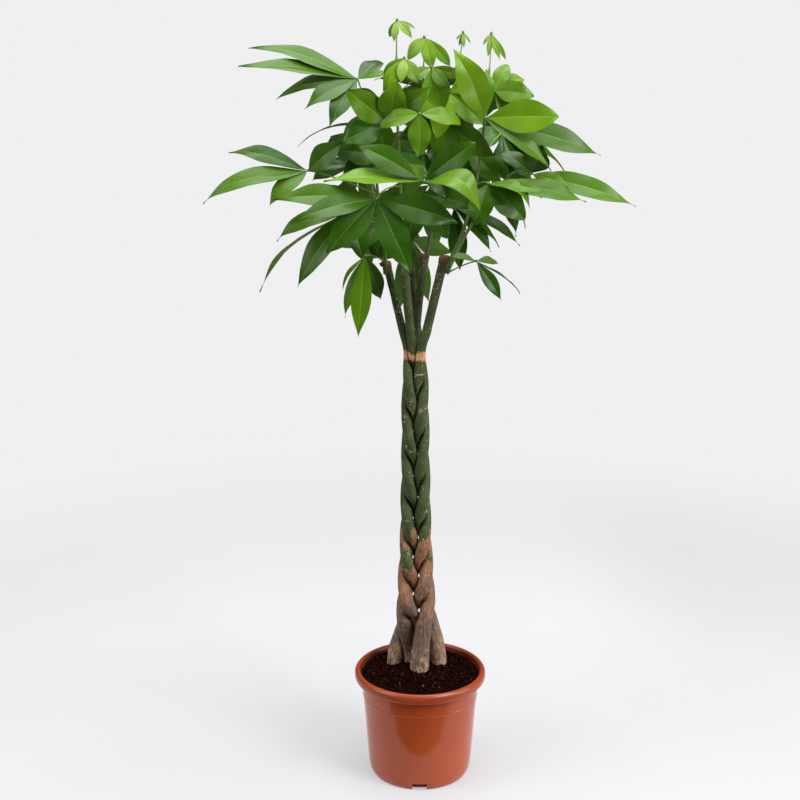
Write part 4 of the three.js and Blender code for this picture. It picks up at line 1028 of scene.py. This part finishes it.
def strand_levels(k):
    """Rows of a strand from root to healed top, as (height, share of the radius, healed mark)."""
    top = STEMS[k].top[2]
    length = top - 16 - ROOT_LEVEL
    count = int(length / STRAND_STEP)
    levels = [(ROOT_LEVEL + length * i / count, 1.0, 0.0) for i in range(count + 1)]
    levels += [(top + rise, scale, 0.3 + 0.7 * (1 + rise / HEAL_DEPTH)) for rise, scale in HEALED_RIM]
    return levels + [(top + rise, scale, 1.0) for rise, scale in HEALED_MIDDLE]


def ringed(rows, sides, downwards=False):
    """Faces between rows of points that are rings, piled upwards or downwards."""
    faces = []
    for row in range(rows - 1):
        for i in range(sides):
            here = row * sides + i
            beside = row * sides + (i + 1) % sides
            if downwards:
                faces.append((here, here + sides, beside + sides, beside))
            else:
                faces.append((here, beside, beside + sides, here + sides))
    return faces


def capped(rows, sides):
    """Faces of a closed tube: its rings, its foot and its top."""
    last = (rows - 1) * sides
    return [*ringed(rows, sides), tuple(reversed(range(sides))), tuple(range(last, last + sides))]


def stem_skin(k):
    """Points, faces, grain and healed marks of one strand from root to sawn top."""
    angles = np.arange(STRAND_SIDES) * 2 * math.pi / STRAND_SIDES
    points = []
    grain = []
    healed = []
    levels = strand_levels(k)
    for z, scale, heal in levels:
        centre = strand_centre(k, z)
        reach = strand_reach(k, z, angles, min(scale, 1) if heal == 0 else scale)
        for angle, length in zip(angles, reach):
            if heal > 0:
                lump = Vector((math.cos(angle), math.sin(angle), 0)) * 1.5 + Vector((k * 4, 9, z / 5))
                length *= 1 + 0.16 * heal * noise.noise(lump)
            length = length + min(relief(k, angle, z), 0.35) * (1 if scale > 0.9 else 0.3)
            x = length * math.cos(angle)
            y = length * math.sin(angle)
            points.append((centre.x + x, centre.y + y, z))
            grain.append((x * MM + k, y * MM, z * MM))
            healed.append(heal)
    return points, capped(len(levels), STRAND_SIDES), grain, healed


class Route:
    """A smooth curve through points, measured along its length as a share from 0 to 1."""

    DIVISIONS = 200

    def __init__(self, point_at):
        self.point_at = point_at
        self.samples = [point_at(i / self.DIVISIONS) for i in range(self.DIVISIONS + 1)]
        steps = [(b - a).length for a, b in zip(self.samples, self.samples[1:])]
        self.lengths = np.concatenate([[0], np.cumsum(steps)])

    def at(self, share):
        target = share * self.lengths[-1]
        i = int(np.clip(np.searchsorted(self.lengths, target, "right") - 1, 0, self.DIVISIONS - 1))
        part = (target - self.lengths[i]) / (self.lengths[i + 1] - self.lengths[i])
        return self.point_at((i + part) / self.DIVISIONS)

    def way(self, share):
        low = max(share - 1e-4, 0)
        high = min(share + 1e-4, 1)
        return (self.at(high) - self.at(low)).normalized()


def shoot_route(name):
    """The shoot's centripetal curve through its points."""
    points = [Vector(p) for p in SHOOTS[name][1]]
    padded = [2 * points[0] - points[1], *points, 2 * points[-1] - points[-2]]

    def point_at(t):
        place = t * (len(points) - 1)
        i = min(int(place), len(points) - 2)
        weight = place - i
        p0, p1, p2, p3 = padded[i:i + 4]
        d0, d1, d2 = [math.sqrt((b - a).length) for a, b in ((p0, p1), (p1, p2), (p2, p3))]
        m1 = ((p1 - p0) / d0 - (p2 - p0) / (d0 + d1) + (p2 - p1) / d1) * d1
        m2 = ((p2 - p1) / d1 - (p3 - p1) / (d1 + d2) + (p3 - p2) / d2) * d1
        c2 = -3 * p1 + 3 * p2 - 2 * m1 - m2
        c3 = 2 * p1 - 2 * p2 + m1 + m2
        return p1 + m1 * weight + c2 * weight ** 2 + c3 * weight ** 3

    return Route(point_at)


def swept(route, radius_at, sides, steps):
    """Points, faces and grain of a round shoot along a route, closed at both ends."""
    points = []
    grain = []
    side = None
    for step in range(steps + 1):
        share = step / steps
        centre = route.at(share)
        way = route.way(share)
        side = (way.orthogonal() if side is None else side - way * side.dot(way)).normalized()
        up = way.cross(side)
        for i in range(sides):
            angle = 2 * math.pi * i / sides
            out = side * math.cos(angle) + up * math.sin(angle)
            points.append(centre + out * radius_at(share))
            grain.append((out * radius_at(share) + Vector((0, 0, share * 400))) * MM)
    return points, capped(steps + 1, sides), grain


def shoot_radius(share):
    """A shoot swells where it leaves the cut and at each old leaf scar, and thins to its tip."""
    joints = max(0, math.sin(share * 34)) ** 12
    return SHOOT_RADIUS * (1 - 0.28 * share + 0.5 * math.exp(-share * 22) + 0.09 * joints)


def knob_skin(k, rings=14, sides=20):
    """Points, faces and grain of the side knob of a healed top: a lumpy ball beside it."""
    x, y, z = STEMS[k].top
    size = STEMS[k].top_radius
    middle = Vector((x - size, y, z - 6))
    points = []
    for row in range(rings + 1):
        polar = math.pi * row / rings
        flat = math.sin(polar)
        for i in range(sides):
            turn = 2 * math.pi * i / sides
            out = Vector((flat * math.cos(turn), flat * math.sin(turn), math.cos(polar)))
            reach = size * 0.66 * (1 + 0.22 * noise.noise(out * 1.7 + Vector((4, 1, 2))))
            points.append(middle + out * reach)
    return points, ringed(rings + 1, sides, downwards=True), [p * MM for p in points]


def wart_tree():
    """Sprinkles flat corky spots over a stem's bark, lying across the grain."""
    web = Web.group("corky spots", "GeometryNodeTree", {
        "Stem": "Geometry", "Density": 1300.0, "Size": 1.0 * MM, "Seed": 3, "Finish": "Material",
    }, {"Stem": "Geometry"})
    density = web.given("Density") * web.note("spots")
    points, turn = web.scattered(web.given("Stem"), density, web.given("Seed"))
    spot = web.out("GeometryNodeMeshIcoSphere", {"Radius": web.given("Size"), "Subdivisions": 2})
    size = web.random((0.4, 0.4, 0.12), (1.5, 1.2, 0.34), 5)
    warts = web.painted(web.smoothed(web.laid(points, spot, Rotation=turn, Scale=size)), "Finish")
    web.give("Stem", web.joined(web.given("Stem"), warts))
    return web.tree


def make_stem(k, tree, bark, green, warts):
    """A stem: its strand, its knob where it has one, and the shoots that grow out of its top."""
    points, faces, grain, healed = stem_skin(k)
    spots = [1.0 if WARTS_FROM < p[2] < WARTS_TO else 0.0 for p in points]
    skins = [knob_skin(k)] if STEMS[k].name == KNOB_STEM else []
    bark_skins = len(skins)
    skins += [swept(shoot_route(name), shoot_radius, SHOOT_SIDES, SHOOT_STEPS)
              for name, (stem, _) in SHOOTS.items() if stem == k]
    slots = [0] * len(faces)
    for i, (more, more_faces, more_grain) in enumerate(skins):
        first = len(points)
        points += [tuple(p) for p in more]
        faces += [tuple(first + corner for corner in face) for face in more_faces]
        grain += [tuple(g) for g in more_grain]
        healed += [1.0 if i < bark_skins else 0.0] * len(more)
        spots += [0.0] * len(more)
        slots += [0 if i < bark_skins else 1] * len(more_faces)
    name = STEMS[k].name
    mesh = mesh_of(name + "_bark", points, faces, {"grain": grain, "healed": healed, "spots": spots})
    mesh.materials.append(bark)
    mesh.materials.append(green)
    mesh.polygons.foreach_set("material_index", slots)
    mesh = grown(name + "_bark", mesh, tree, {"Seed": 3 + k, "Finish": warts})
    piece_of(name + "_bark", mesh, [name])


# Leaves


def direction(turn, lean):
    a = math.radians(turn)
    b = math.radians(lean)
    return Vector((math.cos(a) * math.cos(b), -math.sin(b), math.sin(a) * math.cos(b)))


def upper_side(facing, along):
    return (facing - along * facing.dot(along)).normalized()


def listed_leaflets(leaf, index):
    for i, (turn, lean, length, width, arch, *face) in enumerate(leaf.leaflets):
        angle = math.radians(face[0] if face else leaf.face)
        facing = Vector((0, -math.cos(angle), math.sin(angle)))
        yield turn, lean, length, width, arch, facing, wobble(31 * index + i)


def fan_leaflets(fan, index):
    facing = Vector(fan.axis).normalized()
    level = Vector((0, 0, 1)).cross(facing).normalized()
    steep = level.cross(facing)
    droop = math.radians(fan.droop)
    for i in range(fan.count):
        swing = 16 * (wobble(17 * index + i) - 0.5)
        angle = math.radians(90 + 310 * (i + 0.5) / fan.count - 155 + swing)
        way = level * (math.cos(angle) * math.cos(droop)) + steep * (math.sin(angle) * math.cos(droop))
        way -= facing * math.sin(droop)
        length = fan.length * (0.82 + 0.3 * wobble(13 * index + i))
        turn = math.degrees(math.atan2(way.z, way.x))
        lean = math.degrees(math.asin(-way.y))
        yield turn, lean, length, length * FAN_WIDTH, BLADE_ARCH, facing, wobble(31 * index + i)


def corners_of(node):
    """The points of a CAD node, in millimetres."""
    return np.array([tuple(v.co / MM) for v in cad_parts[node].data.vertices])


def swung_leaflet(corners, hub, leaflet):
    """The leaflet in the swing that its solid took: the one whose tip is a corner of the solid."""
    turn, lean, length, width, arch, facing, seed = leaflet
    best = None
    for shorter in SHORTENINGS:
        for more_lean in LEAN_SWINGS:
            for more_turn in TURN_SWINGS:
                along = direction(turn + more_turn, lean + more_lean)
                up = upper_side(facing, along)
                tip = hub + along * length * shorter
                miss = np.abs(corners - np.array(tip + up * BLADE_THICKNESS / 2)).sum(axis=1).min()
                if best is None or miss < best[0]:
                    best = (miss, along, up, length * shorter)
    _, along, up, length = best
    return {"blade": 1.0, "length": length * MM, "width": width * MM, "arch": arch, "seed": seed,
            "along": tuple(along), "up": tuple(up)}


def stalk_route(leaf, bow, gap, shoot):
    """The stalk's curve from its seat on the shoot to the hub. At a shoot's tip it goes straight on."""
    hub = Vector(leaf.hub)
    root = shoot.at(leaf.share)
    tangent = shoot.way(leaf.share)
    square = hub - root
    square = (square - tangent * square.dot(tangent)).normalized()
    at_tip = leaf.share == 1
    way = tangent if at_tip else square
    root = root + way * (gap + (0 if at_tip else SHOOT_RADIUS * math.cos(math.pi / SHOOT_FACETS)))
    span = (hub - root).length
    if at_tip:
        middle = root + way * span * TIP_REACH
    else:
        middle = (root + hub) / 2 + tangent.cross(square) * bow * span + way * STALK_REACH * span
        middle.z += STALK_RISE * span
    return Route(lambda t: root * (1 - t) ** 2 + middle * 2 * t * (1 - t) + hub * t * t)


def ring_miss(corners, middle):
    """How far the three corners nearest to a middle are from lying on a stalk's ring round it."""
    gaps = np.sort(np.linalg.norm(corners - np.array(middle), axis=1))[:3]
    return abs(gaps - STALK_RADIUS).sum()


def chosen_stalk(leaf, corners, shoot):
    """The stalk with the bow and gap of its solid, which has rings of corners at its root and halfway."""
    corners = np.unique(corners.round(3), axis=0)
    best = None
    for bow in STALK_BOWS:
        for gap in STALK_GAPS:
            route = stalk_route(leaf, bow, gap, shoot)
            miss = ring_miss(corners, route.at(0)) + ring_miss(corners, route.at(0.5))
            if best is None or miss < best[0]:
                best = (miss, route)
    return best[1]


def leaf_tree():
    """Grows a leaf: a blade for each point marked as one, and a stalk along the edges of the host."""
    web = Web.group("leaf growth", "GeometryNodeTree", {
        "Plan": "Geometry", "Fold": BLADE_FOLD, "Wave": BLADE_WAVE, "Waves": BLADE_WAVES,
        "Thickness": BLADE_THICKNESS * MM, "Rib": 1.1 * MM, "Start": KNUCKLE_RADIUS * 0.5 * MM,
        "Stalk radius": STALK_RADIUS * MM, "Hub": "Vector", "Across": 11, "Along": 25,
        "Blade finish": "Material", "Stalk finish": "Material"}, {"Leaf": "Geometry"})

    # A flat sheet with u from side to side and s from root to tip, once for each face of the blade
    sheet = web.out("GeometryNodeMeshGrid", {
        "Size X": 2.0, "Size Y": 1.0, "Vertices X": web.given("Across"), "Vertices Y": web.given("Along")})
    x, y, _ = web.parts(web.out("GeometryNodeInputPosition"))
    y = y + 0.5
    sheet = web.store(sheet, "u", web.math("SIGN", x) * abs(x) ** 1.5)
    sheet = web.store(sheet, "s", 0.4 * y + 0.3 * (1.0 - web.math("COSINE", y * math.pi)))
    upper = web.store(web.store(sheet, "face", 1.0), "under", 0.0, domain="FACE")
    lower = web.store(web.store(sheet, "face", -1.0), "under", 1.0, domain="FACE")
    both = web.joined(upper, web.out("GeometryNodeFlipFaces", {"Mesh": lower}))
    real = web.laid(web.given("Plan"), both, Selection=web.math("GREATER_THAN", web.note("blade"), 0.5))

    # The outline, blunter on broad blades
    names = ("u", "s", "length", "width", "seed", "face")
    u, s, length, width, seed, face = [web.note(name) for name in names]
    along, up = [web.note(name, "FLOAT_VECTOR") for name in ("along", "up")]
    a = abs(u)
    share = web.math("MINIMUM", s, 0.999) ** (BLADE_FULLEST + BLADE_VARIETY * seed)
    blunt = (width / length - BLUNT_FROM) / (BLUNT_FULLY - BLUNT_FROM)
    blunt = web.math("MINIMUM", web.math("MAXIMUM", blunt, 0.0), 1.0)
    tip = (BLADE_TIP - TIP_BLUNTING * blunt) * s ** TIP_SHARPNESS
    outline = web.math("SINE", share * math.pi) ** (1.0 + tip)
    reach = width * 0.5 * outline

    # The fold along the midrib, waves, the arch, and the thickness with the rib under it
    wave = web.math("SINE", (web.given("Waves") * s + seed) * (2 * math.pi) + u) * web.given("Wave")
    ruffle = web.math("SINE", s * 41.0 + seed * 20.0 + u * 2.0) * 0.006 * a * outline
    fold = web.given("Fold") * outline * 0.5 * (1.25 - 0.25 * a)
    lift = a * width * (fold + wave * s + ruffle)
    half = web.given("Thickness") * 0.5 * web.math("SQRT", web.math("MAXIMUM", 1.0 - a ** 4.0, 0.0))
    rib = web.given("Rib") * web.math("MAXIMUM", 1.0 - a / 0.12, 0.0) * (1.0 - s)
    rib = rib * web.math("LESS_THAN", face, 0.0)
    ends = web.math("MINIMUM", outline * 6.0, 1.0)
    arched = web.note("arch") * length * ARCH_SHARE * s ** ARCH_POWER * (1.0 - s)
    rise = arched + lift + face * (half + rib) * ends
    start = web.given("Start")
    place = web.given("Hub").moved(along.scaled(start + (length - start) * s))
    place = place.moved(up.scaled(rise)).moved(along.cross(up).scaled(u * reach))
    real = web.out("GeometryNodeSetPosition", {"Geometry": real, "Position": place})
    real = web.out("GeometryNodeMergeByDistance", {"Geometry": real, "Distance": 0.00002})
    uv = web.out("ShaderNodeCombineXYZ", {"X": 0.5 + 0.5 * u, "Y": s})
    real = web.smoothed(web.store(real, "blade", uv, "FLOAT2", "CORNER"))
    margin = web.math("GREATER_THAN", a, 0.99)
    values = {"Geometry": real, "Selection": margin, "Shade Smooth": False}
    blades = web.painted(web.out("GeometryNodeSetShadeSmooth", values, domain="EDGE"), "Blade finish")

    # The stalk, thicker at both ends, and the knuckle that the leaflets spring from
    curve = web.out("GeometryNodeMeshToCurve", {"Mesh": web.given("Plan")})
    share = web.out("GeometryNodeSplineParameter", output="Factor")
    swell = 0.85 + 0.55 * (1.0 - share) ** 9.0 + 0.55 * share ** 12.0
    curve = web.out("GeometryNodeSetCurveRadius", {"Curve": curve, "Radius": swell})
    radius = web.given("Stalk radius")
    ring = web.out("GeometryNodeCurvePrimitiveCircle", {"Resolution": 10, "Radius": radius})
    stalk = web.out("GeometryNodeCurveToMesh", {
        "Curve": curve, "Profile Curve": ring, "Scale": swell, "Fill Caps": True})
    knuckle = web.out("GeometryNodeMeshIcoSphere", {"Radius": HUB_RADIUS * MM, "Subdivisions": 2})
    knuckle = web.out("GeometryNodeTransform", {"Geometry": knuckle, "Translation": web.given("Hub")})
    green = web.painted(web.smoothed(web.joined(stalk, knuckle)), "Stalk finish")
    web.give("Leaf", web.joined(blades, green))
    return web.tree


def plan_of(leaf, index, young):
    """The host of a leaf: one marked point for each leaflet, and the stalk's route as edges."""
    corners = corners_of(leaf.name)
    hub = Vector(leaf.hub)
    listed = fan_leaflets(leaf, index) if isinstance(leaf, Fan) else listed_leaflets(leaf, index)
    leaflets = [swung_leaflet(corners, hub, one) for one in listed]
    for i, one in enumerate(leaflets):
        one["tone"] = wobble(7 * index + 3 * i)
        # Partly painted light and shade, from the leaf's list
        one["age_and_light"] = age_and_light_of(leaf.name, i, young)
    blank = {label: (0.0, 0.0, 0.0) if label in ("along", "up") else 0.0 for label in leaflets[0]}
    route = chosen_stalk(leaf, corners, shoot_route(leaf.shoot))
    points = [hub] * len(leaflets) + [route.at(i / STALK_STEPS) for i in range(STALK_STEPS + 1)]
    edges = [(len(leaflets) + i, len(leaflets) + i + 1) for i in range(STALK_STEPS)]
    mesh = bpy.data.meshes.new(leaf.name + "_plan")
    mesh.from_pydata([p * MM for p in points], edges, [])
    rows = leaflets + [blank] * (STALK_STEPS + 1)
    mark(mesh, {label: [row[label] for row in rows] for label in blank})
    return mesh


def age_and_light_of(name, i, young):
    """How young the leaflet i of a leaf is: its own value where its leaf has a list of them, which on some
    leaflets is set for a painted sheen, painted light and painted shade.
    """
    ages = LEAF_AGES_AND_LIGHT.get(name, (YOUNG_AGE,) if young else (FULL_AGE,))
    return min(max(ages[i % len(ages)] + 0.1 * (wobble(i + 3 * len(name)) - 0.5), 0), 1)


def make_leaf(leaf, index, tree, blade, stalk):
    young = leaf.name.startswith(YOUNG)
    name = leaf.name + "_blades"
    mesh = grown(name, plan_of(leaf, index, young), tree, {
        "Hub": [c * MM for c in leaf.hub], "Blade finish": blade, "Stalk finish": stalk,
        **(YOUNG_SIZES if young else FULL_SIZES)})
    piece_of(name, mesh, [leaf.name])


# Studio


def make_floor():
    """A round pale floor."""
    angles = [2 * math.pi * i / FLOOR_SIDES for i in range(FLOOR_SIDES)]
    points = [(0, 0, 0)] + [(FLOOR_RADIUS * math.cos(a), FLOOR_RADIUS * math.sin(a), 0) for a in angles]
    mesh = bpy.data.meshes.new("floor")
    mesh.from_pydata(points, [], [(0, 1 + i, 1 + (i + 1) % FLOOR_SIDES) for i in range(FLOOR_SIDES)])
    mesh.materials.append(floor_finish())
    floor = shown("floor", mesh)


def make_flag():
    """A dim card on the floor in front, which the camera doesn't see and which casts no shadow: it keeps
    the floor's light off the object's front."""
    mesh = bpy.data.meshes.new("flag")
    mesh.from_pydata(CARD_CORNERS, [], [(0, 1, 2, 3)])
    mesh.materials.append(card_finish())
    flag = shown("flag", mesh)
    flag.visible_camera = False
    flag.visible_shadow = False


def make_light(name, place, target, size, watts):
    lamp = bpy.data.lights.new(name, "AREA")
    lamp.shape = "RECTANGLE"
    lamp.size, lamp.size_y = size
    lamp.energy = watts
    light = shown(name, lamp)
    light.location = place
    light.rotation_euler = (Vector(target) - Vector(place)).to_track_quat("-Z", "Y").to_euler()
    light.visible_camera = False


def make_air():
    """Pale air behind the object, which gives off less light than it shows."""
    world = bpy.data.worlds.new("studio air")
    bpy.context.scene.world = world
    world.use_nodes = True
    world.node_tree.nodes.clear()
    web = Web(world.node_tree)
    glow = web.out("ShaderNodeBackground", {"Color": AIR_GLOW, "Strength": AIR_STRENGTH})
    seen = web.out("ShaderNodeBackground", {"Color": AIR_SEEN, "Strength": 1.0})
    direct = web.out("ShaderNodeLightPath", output="Is Camera Ray")
    air = web.out("ShaderNodeMixShader", {0: direct, 1: glow, 2: seen})
    web.add("ShaderNodeOutputWorld", {"Surface": air})


def make_camera():
    lens = bpy.data.cameras.new("camera")
    lens.lens = LENS
    camera = shown("camera", lens)
    camera.location = CAMERA_PLACE
    camera.rotation_euler = [math.radians(angle) for angle in CAMERA_TURN]
    bpy.context.scene.camera = camera


def make_studio():
    make_floor()
    make_flag()
    make_air()
    for light in LIGHTS:
        make_light(*light)
    bpy.context.scene.view_settings.view_transform = "Standard"


def make_tree():
    make_pot(pot_finish())
    bed = soil_mesh()
    grains = soil_finish("dark soil", DARK_SOIL, 150.0)
    chips = soil_finish("bark chips", BARK_CHIPS, 120.0)
    crumbs = grown("soil_crumbs", bed.copy(), crumb_tree(), {"Grains": grains, "Chips": chips})
    bed.materials.append(grains)
    piece_of("soil_bed", bed, ["soil"])
    piece_of("soil_crumbs", crumbs, [])
    bark = bark_finish()
    green = shoot_finish("green shoot", GREEN_SHOOT)
    warts = wart_finish()
    wart_growth = wart_tree()
    for k in range(STRANDS):
        make_stem(k, wart_growth, bark, green, warts)
    blade = leaf_finish()
    stalk = shoot_finish("leaf stalk", LEAF_STALK)
    leaf_growth = leaf_tree()
    for index, leaf in enumerate(LEAVES):
        make_leaf(leaf, index, leaf_growth, blade, stalk)


make_camera()
make_studio()
make_tree()
